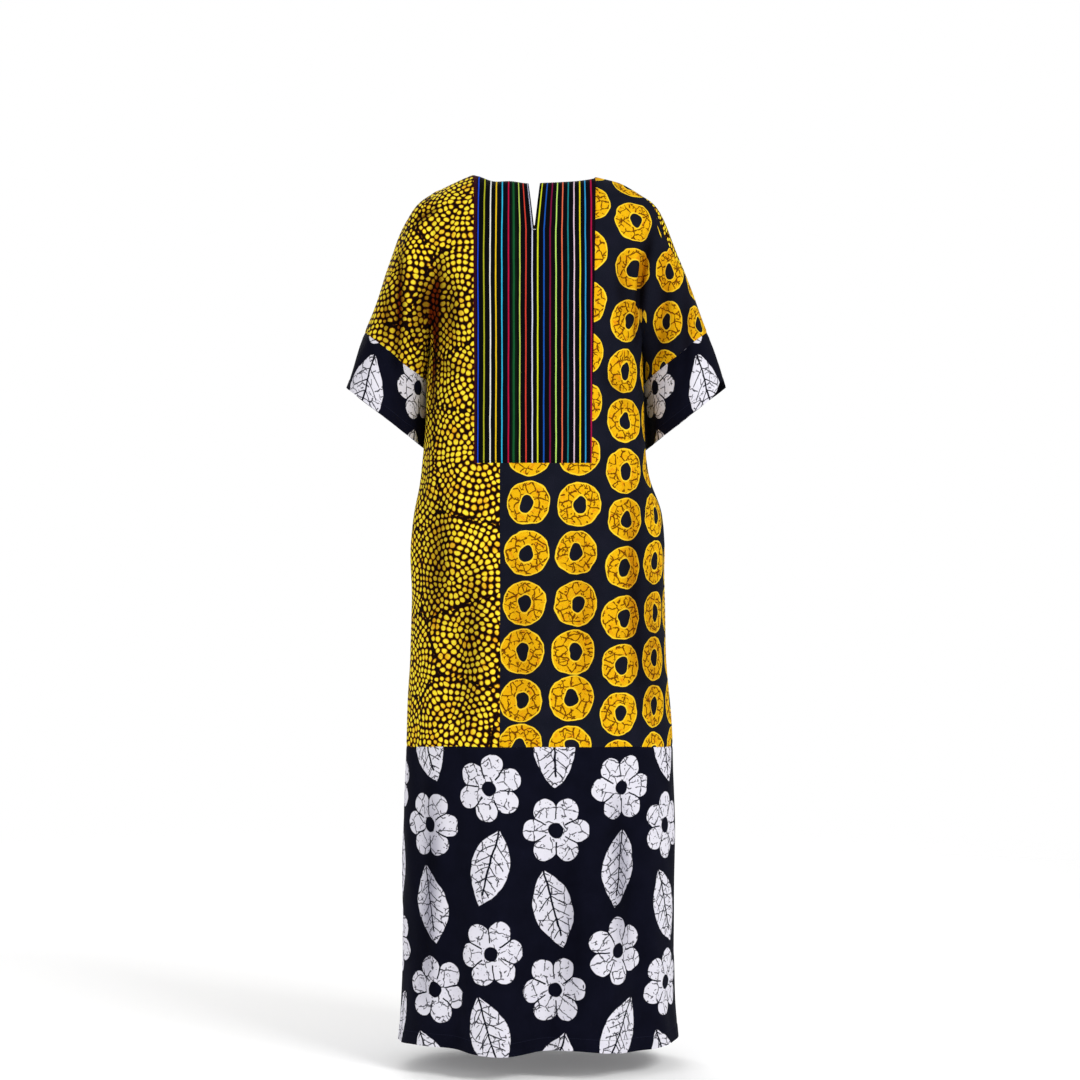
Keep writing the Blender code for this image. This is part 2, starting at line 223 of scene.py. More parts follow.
CREASES = {
    Face.BACK: (
        Crease(-0.156, -0.125, -0.174, -0.405, -0.004, 0.0090, 0.0066),
        Crease(-0.225, -0.098, -0.229, -0.335, 0.003, 0.0080, 0.0036),
        Crease(-0.204, -0.088, -0.160, -0.056, 0.003, 0.0065, 0.0032),
        Crease(-0.182, -0.150, -0.203, -0.290, 0.004, 0.0100, 0.0026),
        Crease(-0.248, -0.185, -0.252, -0.300, 0.002, 0.0075, 0.0024),
        Crease(-0.139, -0.165, -0.146, -0.300, 0.003, 0.0110, 0.0022),
        Crease(-0.120, -0.335, -0.165, -0.300, 0.004, 0.0090, 0.0016),
        Crease(0.192, -0.085, 0.168, -0.300, -0.008, 0.0080, 0.0068, 0.9),
        Crease(0.214, -0.115, 0.200, -0.330, 0.005, 0.0100, 0.0030),
        Crease(0.246, -0.175, 0.243, -0.350, 0.003, 0.0090, 0.0026),
        Crease(0.140, -0.120, 0.149, -0.260, -0.004, 0.0090, 0.0024),
        Crease(0.176, -0.300, 0.180, -0.520, 0.003, 0.0080, 0.0022),
        Crease(0.110, -0.330, 0.158, -0.395, 0.004, 0.0100, 0.0018),
        Crease(-0.176, -0.330, -0.190, -0.560, 0.003, 0.0100, 0.0018),
        Crease(-0.155, -0.520, -0.170, -0.760, 0.004, 0.0140, 0.0022),
        Crease(0.158, -0.500, 0.172, -0.900, -0.006, 0.0120, 0.0036),
        Crease(0.190, -0.620, 0.197, -0.930, 0.003, 0.0100, 0.0024),
        Crease(0.070, -0.560, 0.078, -0.900, 0.005, 0.0180, 0.0018),
        Crease(-0.020, -0.600, -0.016, -0.940, -0.004, 0.0170, 0.0016),
        Crease(-0.105, -0.620, -0.112, -0.930, 0.003, 0.0160, 0.0018),
        Crease(0.130, -1.000, 0.140, -1.300, 0.004, 0.0140, 0.0022),
        Crease(-0.168, -0.980, -0.184, -1.380, 0.003, 0.0130, 0.0026),
        Crease(0.060, -1.080, 0.062, -1.400, -0.003, 0.0150, 0.0016),
    ),
    Face.FRONT: (
        Crease(-0.160, -0.110, -0.172, -0.350, 0.005, 0.0090, 0.0058),
        Crease(0.164, -0.120, 0.176, -0.370, -0.004, 0.0085, 0.0054),
        Crease(-0.215, -0.120, -0.210, -0.310, 0.004, 0.0085, 0.0040),
        Crease(0.218, -0.130, 0.212, -0.330, -0.003, 0.0090, 0.0036),
        Crease(-0.130, -0.290, -0.175, -0.345, 0.005, 0.0100, 0.0024),
        Crease(0.120, -0.270, 0.172, -0.330, 0.005, 0.0110, 0.0026),
        Crease(-0.115, -0.170, -0.128, -0.330, 0.004, 0.0110, 0.0020),
        Crease(0.096, -0.520, 0.112, -0.920, 0.005, 0.0150, 0.0026),
        Crease(-0.090, -0.560, -0.082, -0.930, -0.005, 0.0160, 0.0024),
        Crease(-0.168, -0.560, -0.180, -0.900, 0.004, 0.0120, 0.0026),
        Crease(0.010, -0.450, 0.004, -0.880, 0.004, 0.0170, 0.0018),
        Crease(0.166, -0.640, 0.180, -0.930, 0.003, 0.0120, 0.0022),
        Crease(0.140, -1.000, 0.160, -1.390, 0.004, 0.0140, 0.0024),
        Crease(-0.110, -0.990, -0.118, -1.350, 0.003, 0.0150, 0.0022),
    ),
}


def ease(value: Array) -> Array:
    """Smooth step from 0 to 1."""
    value = np.clip(value, 0.0, 1.0)
    return value * value * (3.0 - 2.0 * value)


def bell(offset: Array, width: float) -> Array:
    """Smooth bump of height 1 at offset 0."""
    return np.exp(-((offset / width) ** 2))


class Curve:
    """A smooth curve through one column of a table."""

    def __init__(self, places: list[float], values: list[float]) -> None:
        """Sort the column by its places and find its slopes.

        Args:
            places: Where each value holds.
            values: The values of the column.
        """
        order = np.argsort(places)
        self.places = np.array(places, dtype=float)[order]
        self.values = np.array(values, dtype=float)[order]
        self.slopes = np.gradient(self.values, self.places)

    def at(self, where: Array) -> Array:
        """Value of the curve.

        Args:
            where: Places to read it at; past the ends it keeps its end value.

        Returns:
            One value for each place.
        """
        where = np.clip(np.asarray(where, dtype=float), self.places[0], self.places[-1])
        last = len(self.places) - 2
        k = np.clip(np.searchsorted(self.places, where, side="right") - 1, 0, last)
        span = self.places[k + 1] - self.places[k]
        t = (where - self.places[k]) / span
        rest = 1.0 - t
        return (
            rest * rest * (1.0 + 2.0 * t) * self.values[k]
            + t * rest * rest * span * self.slopes[k]
            + t * t * (1.0 + 2.0 * rest) * self.values[k + 1]
            - t * t * rest * span * self.slopes[k + 1]
        )


def curves_of(rows: tuple, key: str) -> dict[str, Curve]:
    """A curve for each column of a table.

    Args:
        rows: The table's named rows.
        key: Name of the column that holds the places.

    Returns:
        The curves by column name.
    """
    places = [getattr(row, key) for row in rows]
    names = [name for name in rows[0]._fields if name != key]
    return {name: Curve(places, [getattr(row, name) for row in rows]) for name in names}


@dataclass
class DressForm:
    """The outer surface that every panel lies on, from the same driving sizes as the solids."""

    underarm: float = -0.285
    stripe_bottom: float = -0.480
    hem_seam: float = -0.947
    seam_rise: float = 0.008
    hem: float = -1.430
    neck_centre: float = -0.0020
    neck_half_width: float = 0.1006
    neck_back_reach: float = 0.055
    neck_front_reach: float = 0.078
    neck_back_drop: float = 0.017
    neck_front_drop: float = 0.072
    front_drop_power: float = 1.6
    back_base: float = -0.100
    front_base: float = -0.128
    stripe_left: float = -0.1005
    stripe_right: float = 0.0905
    dot_seam: float = -0.0585
    slit_x: float = -0.0027
    slit_half_width: float = 0.0095
    shoulder_straight: float = 0.72
    section_power: float = 2.3
    relief_fade: float = 0.30
    fold_start: float = 1.2
    hem_wave: float = 0.0035
    hem_waves: int = 5
    yoke_rows: int = 4
    armhole_rows: int = 12
    stripe_rows: int = 18
    hem_rows: int = 29
    last_row: int = 39
    band_start: float = 0.66
    back_spans: tuple[float, ...] = (0.130, 0.035, 0.059, 0.095, 0.130)
    front_spans: tuple[float, ...] = (0.130, 0.0985, 0.0985, 0.130)
    middle_span: int = 2
    yoke_length: float = 0.125
    armhole_length: float = 0.200
    sleeve_length: float = 0.27
    band_length: float = 0.100

    def __post_init__(self) -> None:
        """Read the tables into curves."""
        self.neck_left = self.neck_centre - self.neck_half_width
        self.neck_right = self.neck_centre + self.neck_half_width
        self.body = curves_of(BODY_SECTIONS, "height")
        self.sleeve = curves_of(SLEEVE_LOOPS, "along")

    def loop(self, side: float, face: Face, along: Array, turn: Array) -> Array:
        """Points of the sleeve loops.

        Args:
            side: -1 for the left sleeve, 1 for the right.
            face: The face of the dress.
            along: Place from the armhole, 0, to the cuff, 1.
            turn: 0 at the top of the loop, pi at the underarm.

        Returns:
            The points, with X, Y and Z last.
        """
        read = {name: curve.at(along) for name, curve in self.sleeve.items()}
        cosine = np.cos(turn)
        half_x = (read["top_x"] - read["under_x"]) / 2.0
        half_z = (read["top_z"] - read["under_z"]) / 2.0
        x = side * (read["under_x"] + half_x * (1.0 + cosine))
        y = read["under_y"] / 2.0 * (1.0 - cosine) + face.sign * read[face.value] * np.sin(turn)
        z = read["under_z"] + half_z * (1.0 + cosine)
        return np.stack(np.broadcast_arrays(x, y, z), axis=-1)

    def edge(self, side: float, face: Face, height: Array) -> tuple[Array, Array]:
        """X and depth of the body's outer edge: the armhole above the underarm, the side seam below."""
        top = float(self.sleeve["top_z"].at(0.0))
        middle = (top + self.underarm) / 2.0
        turn = np.arccos(np.clip((height - middle) / (top - middle), -1.0, 1.0))
        point = self.loop(1.0, face, 0.0, turn)
        above = height > self.underarm
        seam = np.where(side < 0.0, self.body["left"].at(height), self.body["right"].at(height))
        return np.where(above, point[..., 0], seam), np.where(above, np.abs(point[..., 1]), 0.0)

    def half_width(self, side: float, face: Face, height: Array) -> Array:
        """Half width of the whole section whose curve meets the body's outer edge."""
        x, depth = self.edge(side, face, height)
        share = (depth / self.body[face.value].at(height)) ** self.section_power
        return x / (1.0 - share) ** (1.0 / self.section_power)

    def turn_of(self, side: float, face: Face, x: Array, height: Array) -> Array:
        """Turn from the side seam at which a section has a distance x from the centre line."""
        share = np.abs(x) / self.half_width(side, face, height)
        return np.arccos(np.minimum(share ** (self.section_power / 2.0), 1.0))

    def edge_turn(self, side: float, face: Face, height: Array) -> Array:
        """Turn of the body's outer edge."""
        turn = self.turn_of(side, face, self.edge(side, face, height)[0], height)
        return np.where(height <= self.underarm, 0.0, turn)

    def relief(self, face: Face, x: Array, height: Array) -> Array:
        """How far the built folds and troughs move the cloth outward."""
        out = np.zeros_like(x)
        for fold in FOLDS[face]:
            share = np.maximum((fold.z_top - height) / (fold.z_top - self.hem), 0.0)
            middle = fold.x_top + (fold.x_hem - fold.x_top) * share
            out += fold.out * ease(share * self.fold_start) * bell(x - middle, fold.width)
        for trough in TROUGHS[face]:
            share = np.clip((trough.z_top - height) / (trough.z_top - trough.z_bottom), 0.0, 1.0)
            middle = trough.x_top + (trough.x_bottom - trough.x_top) * share
            out -= trough.depth * np.sin(math.pi * share) * bell(x - middle, trough.width)
        return out

    def section(self, side: float, face: Face, height: Array, turn: Array) -> Array:
        """Points of level sections at a turn from the side seam."""
        cosine = np.clip(np.cos(turn), 0.0, 1.0)
        x = side * self.half_width(side, face, height) * cosine ** (2.0 / self.section_power)
        share = np.sin(turn) ** (2.0 / self.section_power)
        fade = ease((turn - self.edge_turn(side, face, height)) / self.relief_fade)
        y = self.body[face.value].at(height) * share + self.relief(face, x, height) * fade
        return np.stack([x, face.sign * y, height], axis=-1)

    def seams(self, face: Face, height: Array) -> list[Array]:
        """X of the upright seams and guide lines at some heights; the panel's seams lean."""
        height = np.asarray(height, dtype=float)
        level = np.zeros_like(height)
        if face is Face.FRONT:
            return [level + self.neck_left, level, level + self.neck_right]
        share = np.minimum(height / self.stripe_bottom, 1.0)
        left = self.neck_left + (self.stripe_left - self.neck_left) * share
        right = self.neck_right + (self.stripe_right - self.neck_right) * share
        return [left, level + self.dot_seam, level + self.slit_x, right]

    def last_span(self, face: Face) -> int:
        """Number of the span beside the right armhole."""
        return len(self.spans(face)) - 1

    def spans(self, face: Face) -> tuple[float, ...]:
        """About how wide each span between two seam lines is."""
        return self.back_spans if face is Face.BACK else self.front_spans

    def centre_share(self, face: Face, column: Column) -> float:
        """0 at the armhole line, 1 between the seams beside the centre."""
        if column.span == 0:
            return float(ease(column.share))
        if column.span == self.last_span(face):
            return float(ease(1.0 - column.share))
        return 1.0

    def heights(self, face: Face, rows: Array, column: Column) -> Array:
        """Height of each grid row at a column; rows bend from the armhole to the centre."""
        base = self.back_base if face is Face.BACK else self.front_base
        edge = self.loop(1.0, face, 0.0, math.pi * rows / self.armhole_rows)[..., 2]
        share = (rows - self.yoke_rows) / (self.armhole_rows - self.yoke_rows)
        centre = base + (self.underarm - base) * share
        upper = edge + (centre - edge) * self.centre_share(face, column)
        marks = (self.armhole_rows, self.stripe_rows, self.hem_rows, self.last_row)
        seam = self.hem_seam
        if face is Face.BACK:
            seam += self.seam_rise * self.centre_share(face, column)
        lower = np.interp(rows, marks, (self.underarm, self.stripe_bottom, seam, self.hem))
        return np.where(rows < self.armhole_rows, upper, lower)

    def below_yoke(self, face: Face, height: Array, column: Column) -> Array:
        """Points of a column below the yoke."""
        seams = self.seams(face, height)
        if column.span in (0, self.last_span(face)):
            side = -1.0 if column.span == 0 else 1.0
            start = self.edge_turn(side, face, height)
            end = self.turn_of(side, face, seams[min(column.span, len(seams) - 1)], height)
            if side > 0.0:
                start, end = end, start
            return self.section(side, face, height, start + (end - start) * column.share)
        x = seams[column.span - 1] + (seams[column.span] - seams[column.span - 1]) * column.share
        side = np.where(x < 0.0, -1.0, 1.0)
        return self.section(side, face, height, self.turn_of(side, face, x, height))

    def nominal_x(self, face: Face, column: Column) -> float:
        """X of a column on the neckline or shoulder before the slit opens."""
        outer = SLEEVE_LOOPS[0].top_x
        lines = [-outer, *self.seams(face, 0.0), outer]
        start = lines[column.span]
        return float(start + (lines[column.span + 1] - start) * column.share)

    def top(self, face: Face, column: Column) -> Array:
        """Point of the upper edge: the shoulder line or the neckline, parted at the slit."""
        x = self.nominal_x(face, column)
        if column.span in (0, self.last_span(face)):
            start = abs(self.neck_left if x < 0.0 else self.neck_right)
            share = (abs(x) - start) / (SLEEVE_LOOPS[0].top_x - start)
            slope = self.shoulder_straight + (1.0 - self.shoulder_straight) * share
            return np.array([x, 0.0, SLEEVE_LOOPS[0].top_z * share * slope])
        x += self.slit_shift(face, column)
        share = math.sqrt(max(1.0 - ((x - self.neck_centre) / self.neck_half_width) ** 2, 0.0))
        if face is Face.BACK:
            return np.array([x, -self.neck_back_reach * share, -self.neck_back_drop * share])
        drop = self.neck_front_drop * share ** self.front_drop_power
        return np.array([x, self.neck_front_reach * share, -drop])

    def slit_shift(self, face: Face, column: Column) -> float:
        """How far the open slit moves a column aside at the neckline."""
        if face is Face.BACK and column.span == self.middle_span + 1:
            return self.slit_half_width * (1.0 - column.share)
        if face is Face.BACK and column.span == self.middle_span:
            return -self.slit_half_width * column.share
        return 0.0

    def column_points(self, face: Face, rows: Array, column: Column) -> Array:
        """Points of the body's surface down one column.

        Args:
            face: The face of the dress.
            rows: Grid rows, from 0 at the neck or shoulder to the last row at the hem.
            column: The column.

        Returns:
            One point for each row.
        """
        height = self.heights(face, rows, column)
        points = self.below_yoke(face, height, column)
        share = np.maximum((self.hem_seam - height) / (self.hem_seam - self.hem), 0.0)
        around = np.arctan2(points[:, 0], points[:, 1])
        points[:, 2] += self.hem_wave * share ** 3 * np.sin(self.hem_waves * around)
        yoke = rows < self.yoke_rows
        points[yoke] = self.yoke_points(face, rows[yoke], column)
        outer = (column.span == 0 and column.share == 0.0) or (
            column.span == self.last_span(face) and column.share == 1.0
        )
        if outer:
            armhole = rows <= self.armhole_rows
            side = -1.0 if column.span == 0 else 1.0
            turn = math.pi * rows[armhole] / self.armhole_rows
            points[armhole] = self.loop(side, face, 0.0, turn)
        return points

    def yoke_points(self, face: Face, rows: Array, column: Column) -> Array:
        """Points between the upper edge and the yoke's base row, round over the shoulder."""
        base_turn = math.pi * self.yoke_rows / self.armhole_rows
        turn = math.pi * rows / self.armhole_rows
        base_row = np.array([float(self.yoke_rows)])
        base = self.below_yoke(face, self.heights(face, base_row, column), column)[0]
        top = self.top(face, column)
        back = np.sin(turn) / math.sin(base_turn)
        down = (1.0 - np.cos(turn)) / (1.0 - math.cos(base_turn))
        shares = np.stack([down, back, down], axis=-1)
        return top + (base - top) * shares


def spread_of(places: Array, count: int) -> Array:
    """Shares that carry values from some grid lines over to all of them."""
    return np.stack([np.interp(np.arange(count), places, line) for line in np.eye(len(places))])


def relaxed(chart: Array, points: Array, held: Array, rounds: int, rate: float = 0.75) -> Array:
    """Ease a flat chart until its lengths are those of the cloth in space.

    Args:
        chart: Flat place of each grid point.
        points: The same points in space.
        held: Which of them stay where they are.
        rounds: How often the lengths are corrected.
        rate: Share of the error that each round takes away.

    Returns:
        The eased chart.
    """
    across = np.diff(points, axis=1)
    down = np.diff(points, axis=0)
    head, tail, whole = slice(None, -1), slice(1, None), slice(None)
    links = (
        ((whole, head), (whole, tail), across),
        ((head, whole), (tail, whole), down),
        ((head, head), (tail, tail), across[:-1] + down[:, 1:]),
        ((head, tail), (tail, head), down[:, 1:] - across[1:]),
    )
    lengths = [np.linalg.norm(run, axis=2, keepdims=True) for _, _, run in links]
    weight = np.zeros(chart.shape[:2] + (1,))
    for first, second, _ in links:
        weight[first] += 1.0
        weight[second] += 1.0
    free = np.where(held[..., None], 0.0, 1.0 / weight)
    chart = chart.copy()
    for _ in range(rounds):
        moves = np.zeros_like(chart)
        for (first, second, _), length in zip(links, lengths):
            gap = chart[second] - chart[first]
            now = np.maximum(np.sqrt(np.sum(gap * gap, axis=2, keepdims=True)), TINY)
            step = gap * (rate * (1.0 - length / now))
            moves[first] += step
            moves[second] -= step
        chart += moves * free
    return chart


PIECES = (
    "back_dot_panel",
    "back_ring_panel",
    "back_striped_panel",
    "front_ring_panel",
    "front_dot_panel",
    "hem_band_back",
    "hem_band_front",
    "sleeve_band_left",
    "sleeve_band_right",
)
NO_PIECE = -1


@dataclass
class Grid:
    """One patch of the surface: its points, the piece that each cell is cut from, and its charts."""

    points: Array
    pieces: Array
    charts: dict[str, Array]
    ids: Array
    inside: Array

    def joints(self) -> Array:
        """The columns of empty cells between two spans."""
        return np.flatnonzero((self.pieces == NO_PIECE).all(axis=0))



@dataclass
class ClothSurface:
    """The whole dress as one fine welded surface, with listed creases, from which every piece is cut."""

    form: DressForm
    cell: float = 0.0034
    quick_cell: float = 0.007
    side_detail: float = 1.25
    weld: float = 2.0e-5
    seam_groove: float = 0.0008
    seam_lip: float = 0.00025
    crease_ridge: float = 0.30
    ridge_place: float = 1.7
    slit_pull: float = 2.0
    left_gather: float = 1.10
    right_gather: float = 1.30
    coarse_stride: int = 5
    coarse_rounds: int = 700
    fine_rounds: int = 120
    over_cells: int = 6
    edge_reach: int = 10
    over_turn: float = 0.64
    over_end: float = 0.56
    cuff_lift: float = 0.050
    lift_turn: float = 0.45
    lift_width: float = 0.28
    crease_pull: float = 0.45
    full_pull: float = 0.0050
    # Width and strength of the crease mask that the materials paint as shade in the creases.
    fold_reach: float = 1.35
    fold_gain: float = 1.5
    pull_reach: float = 1.9
    facing_start: float = 0.16
    facing_rate: float = 2.2
    crease_strength: float = 1.6
    hem_turn: float = 0.021
    cuff_turn: float = 0.16
    neck_turn: float = 0.006
    turn_lift: float = 0.00035
    stitch_sink: float = 0.00045
    sway: float = 0.00034
    sway_waves: int = 26
    sway_lengths: Pair = (0.045, 0.150)
    sway_lean: float = 0.35
    core_share: float = 0.5
    core_top: float = -0.15
    over_power: float = 1.5
    over_follow: float = 0.25
    groove_side: float = 0.2
    crease_taper: float = 0.8
    seed: int = 7

    def __post_init__(self) -> None:
        """Lay the grids, weld them, and crease the cloth."""
        self.step = self.cell
        self.count = 0
        self.grids: dict[str, Grid] = {}
        self.rows = self.row_stops()
        for face in Face:
            self.add_body(face)
        for side, name in zip((-1.0, 1.0), SIDES):
            for face in Face:
                self.add_sleeve(side, name, face)
        self.join()
        self.crease()

    def stops(self, start: float, end: float, length: float) -> Array:
        """Even stops between two values, about one cell apart over a length."""
        return np.linspace(start, end, max(2, int(math.ceil(length / self.step))) + 1)

    def row_stops(self) -> Array:
        """Grid rows from the neck to the hem, about one cell apart."""
        form = self.form
        bands = (
            (0, form.yoke_rows, form.yoke_length),
            (form.yoke_rows, form.armhole_rows, form.armhole_length),
            (form.armhole_rows, form.stripe_rows, form.underarm - form.stripe_bottom),
            (form.stripe_rows, form.hem_rows, form.stripe_bottom - form.hem_seam),
            (form.hem_rows, form.last_row, form.hem_seam - form.hem),
        )
        parts = [self.stops(float(start), float(end), length)[:-1] for start, end, length in bands]
        return np.concatenate([*parts, [float(form.last_row)]])

    def body_piece(self, face: Face, row: float, span: int) -> int:
        """Number of the piece that a body cell is cut from."""
        form = self.form
        if row > form.hem_rows:
            return PIECES.index(f"hem_band_{face.value}")
        if face is Face.FRONT:
            return PIECES.index("front_ring_panel" if span < form.middle_span else "front_dot_panel")
        if row < form.stripe_rows and 0 < span < form.last_span(face):
            return PIECES.index("back_striped_panel")
        return PIECES.index("back_dot_panel" if span < form.middle_span else "back_ring_panel")

    def add_body(self, face: Face) -> None:
        """Lay the body's grid of one face, with its charts."""
        form = self.form
        columns = []
        for span, width in enumerate(form.spans(face)):
            fine = self.side_detail if span in (0, form.last_span(face)) else 1.0
            columns += [Column(span, float(share)) for share in self.stops(0.0, 1.0, width * fine)]
        points = np.stack([form.column_points(face, self.rows, column) for column in columns], axis=1)
        pieces = np.full((len(self.rows) - 1, len(columns) - 1), NO_PIECE)
        middles = (self.rows[1:] + self.rows[:-1]) / 2.0
        for c, (left, right) in enumerate(zip(columns, columns[1:])):
            if left.span == right.span:
                pieces[:, c] = [self.body_piece(face, row, left.span) for row in middles]
        charts = self.body_charts(face, points, columns)
        middle = (points[:-1, :-1] + points[1:, 1:]) / 2.0
        inside = middle * np.array([self.core_share, 0.0, 1.0])
        inside[..., 2] = np.minimum(inside[..., 2], self.core_top)
        self.add_grid(face.value, points, pieces, charts, inside)

    def body_charts(self, face: Face, points: Array, columns: list[Column]) -> dict[str, Array]:
        """Flat charts of the body's cloth, in metres.

        Args:
            face: The face of the dress.
            points: Points of the grid.
            columns: Its columns.

        Returns:
            For each piece, the flat place of every grid point.
        """
        form = self.form
        moves = np.hypot(np.diff(points[..., 0], axis=1), np.diff(points[..., 1], axis=1))
        for c, (left, right) in enumerate(zip(columns, columns[1:])):
            if left.span != right.span:
                moves[:, c] = 0.0
        arc = np.concatenate([np.zeros((len(points), 1)), np.cumsum(moves, axis=1)], axis=1)
        down = -points[..., 2].copy()
        base = int(np.argmax(self.rows >= form.yoke_rows))
        rises = np.linalg.norm(np.diff(points[: base + 1], axis=0), axis=2)
        down[:base] = down[base] - np.cumsum(rises[::-1], axis=0)[::-1]
        spans = np.array([column.span for column in columns])

        def chart(line: int) -> Array:
            """Chart whose cross place is measured along the cloth from the first line of a span."""
            seam = int(np.argmax(spans == line))
            across = arc - arc[:, seam:seam + 1] + points[:, seam:seam + 1, 0]
            return np.stack([-face.sign * across, down], axis=-1)

        if face is Face.FRONT:
            whole = chart(2)
            return {name: whole for name in ("front_ring_panel", "front_dot_panel", "hem_band_front")}
        shifts = np.array([form.slit_shift(face, column) for column in columns])
        near = (np.abs(shifts) / form.slit_half_width) ** self.slit_pull
        turn = math.pi / form.armhole_rows
        open_share = np.cos(self.rows * turn) - math.cos(form.yoke_rows * turn)
        open_share = np.maximum(open_share, 0.0) / (1.0 - math.cos(form.yoke_rows * turn))
        striped = np.stack([points[..., 0] - open_share[:, None] * shifts * near, down], axis=-1)
        return {
            "back_dot_panel": chart(1),
            "back_ring_panel": chart(4),
            "back_striped_panel": striped,
            "hem_band_back": chart(3),
        }

    def add_sleeve(self, side: float, name: str, face: Face) -> None:
        """Lay one face of a sleeve, from the armhole to the cuff."""
        form = self.form
        sleeve = self.stops(0.0, form.band_start, form.sleeve_length * self.side_detail)[:-1]
        along = np.concatenate([sleeve, self.stops(form.band_start, 1.0, form.band_length)])
        rows = self.rows[self.rows <= form.armhole_rows]
        turn = np.tile(math.pi * rows / form.armhole_rows, (len(along), 1))
        reach = np.tile(along[:, None], (1, len(rows)))
        rolled = side > 0.0 and face is Face.BACK
        if rolled:
            turn = self.rolled_turn(along, turn)
            ramp = np.maximum((reach - form.band_start) / (1.0 - form.band_start), 0.0) ** 2
            reach = reach - self.cuff_lift * ramp * bell(turn - self.lift_turn, self.lift_width)
        points = form.loop(side, face, reach, turn)
        main = f"{face.value}_{'dot' if (side < 0.0) == (face is Face.BACK) else 'ring'}_panel"
        band = f"sleeve_band_{name}"
        middles = (along[1:] + along[:-1]) / 2.0
        labels = np.where(middles < form.band_start, PIECES.index(main), PIECES.index(band))
        pieces = np.repeat(labels[:, None], len(rows) - 1, axis=1)
        charts = {
            main: self.sleeve_chart(side, face, len(sleeve), points, main),
            band: self.band_chart(face, along, points),
        }
        if rolled:
            pieces[: len(sleeve), : self.over_cells] = PIECES.index("front_dot_panel")
        top = form.loop(side, face, along, 0.0)
        under = form.loop(side, face, along, math.pi)
        middle = (top + under) / 2.0
        inside = np.repeat(((middle[1:] + middle[:-1]) / 2.0)[:, None, :], len(rows) - 1, axis=1)
        self.add_grid(f"{face.value}_{name}", points, pieces, charts, inside)
        if side > 0.0 and face is Face.FRONT:
            back = self.grids[f"{Face.BACK.value}_{name}"]
            back.charts["front_dot_panel"] = self.rolled_over(charts[main], back.points)

    def rolled_over(self, chart: Array, points: Array) -> Array:
        """Chart of the front's cloth past its upper edge, laid square to the edge over the back."""
        edge = chart[:, 0]
        lines = np.arange(len(edge))
        after = edge[np.minimum(lines + self.edge_reach, len(edge) - 1)]
        ahead = after - edge[np.maximum(lines - self.edge_reach, 0)]
        square = np.stack([-ahead[:, 1], ahead[:, 0]], axis=1)
        square /= np.linalg.norm(square, axis=1, keepdims=True)
        square *= -np.sign(np.sum(square * (chart[:, 1] - edge)))
        steps = np.linalg.norm(np.diff(points, axis=1), axis=2)
        run = np.concatenate([np.zeros((len(points), 1)), np.cumsum(steps, axis=1)], axis=1)
        return edge[:, None] + run[..., None] * square[:, None]

    def rolled_turn(self, along: Array, turn: Array) -> Array:
        """Turns of the right back sleeve, where the front's cloth rolls over the shoulder edge."""
        first = turn[0, self.over_cells]
        share = np.clip(along / self.over_end, 0.0, 1.0)
        edge = first + (self.over_turn - first) * np.sin(math.pi * share) ** self.over_power
        quarter = math.pi / 2.0
        marks = np.array([0.0, first, quarter, math.pi])
        rows = [
            np.interp(line, marks, (0.0, roll, quarter + roll * self.over_follow, math.pi))
            for line, roll in zip(turn, edge)
        ]
        return np.where((share > 0.0)[:, None], np.array(rows), turn)

    def sleeve_chart(self, side: float, face: Face, lines: int, points: Array, main: str) -> Array:
        """Flat chart of a sleeve that carries on from its panel without a break.

        Args:
            side: -1 for the left sleeve, 1 for the right.
            face: The face of the dress.
            lines: Number of the sleeve's lines from the armhole to its band; not used.
            points: Points of the sleeve's grid.
            main: Name of the panel that the sleeve is cut in one with.

        Returns:
            The flat place of every point.
        """
        body = self.grids[face.value]
        joints = body.joints()
        if side < 0.0:
            columns = np.arange(joints[0], -1, -1)
        else:
            columns = np.arange(joints[-1] + 1, body.points.shape[1])
        rows = points.shape[1]
        cloth = body.points[:rows, columns]
        chart = body.charts[main][:rows, columns]
        gather = self.left_gather if side < 0.0 else self.right_gather
        sleeve = np.swapaxes(points[1:], 0, 1).copy()
        start = np.swapaxes(points[:1, :, 0], 0, 1)
        sleeve[..., 0] = start + (sleeve[..., 0] - start) * gather
        flat_x = chart[:, -1:, 0] - face.sign * (sleeve[..., 0] - start)
        flat = np.stack([flat_x, -sleeve[..., 2]], axis=2)
        chart = np.concatenate([chart, flat], axis=1)
        cloth = np.concatenate([cloth, sleeve], axis=1)
        held = np.zeros(chart.shape[:2], dtype=bool)
        held[:, 0] = True
        held[-1, : len(columns)] = True
        chart = self.flattened(chart, cloth, held)
        body.charts[main][:rows, columns] = chart[:, : len(columns)]
        return np.swapaxes(chart[:, len(columns) - 1 :], 0, 1)

    def flattened(self, chart: Array, cloth: Array, held: Array) -> Array:
        """Ease a chart on a coarse grid first, then on its own."""
        rows, columns = (
            np.unique(np.linspace(0, count - 1, count // self.coarse_stride + 1).astype(int))
            for count in chart.shape[:2]
        )
        some = np.ix_(rows, columns)
        coarse = relaxed(chart[some], cloth[some], held[some], self.coarse_rounds)
        down = spread_of(rows, chart.shape[0])
        across = spread_of(columns, chart.shape[1])
        chart = chart + np.einsum("ir,ijk,jc->rck", down, coarse - chart[some], across)
        return relaxed(chart, cloth, held, self.fine_rounds)

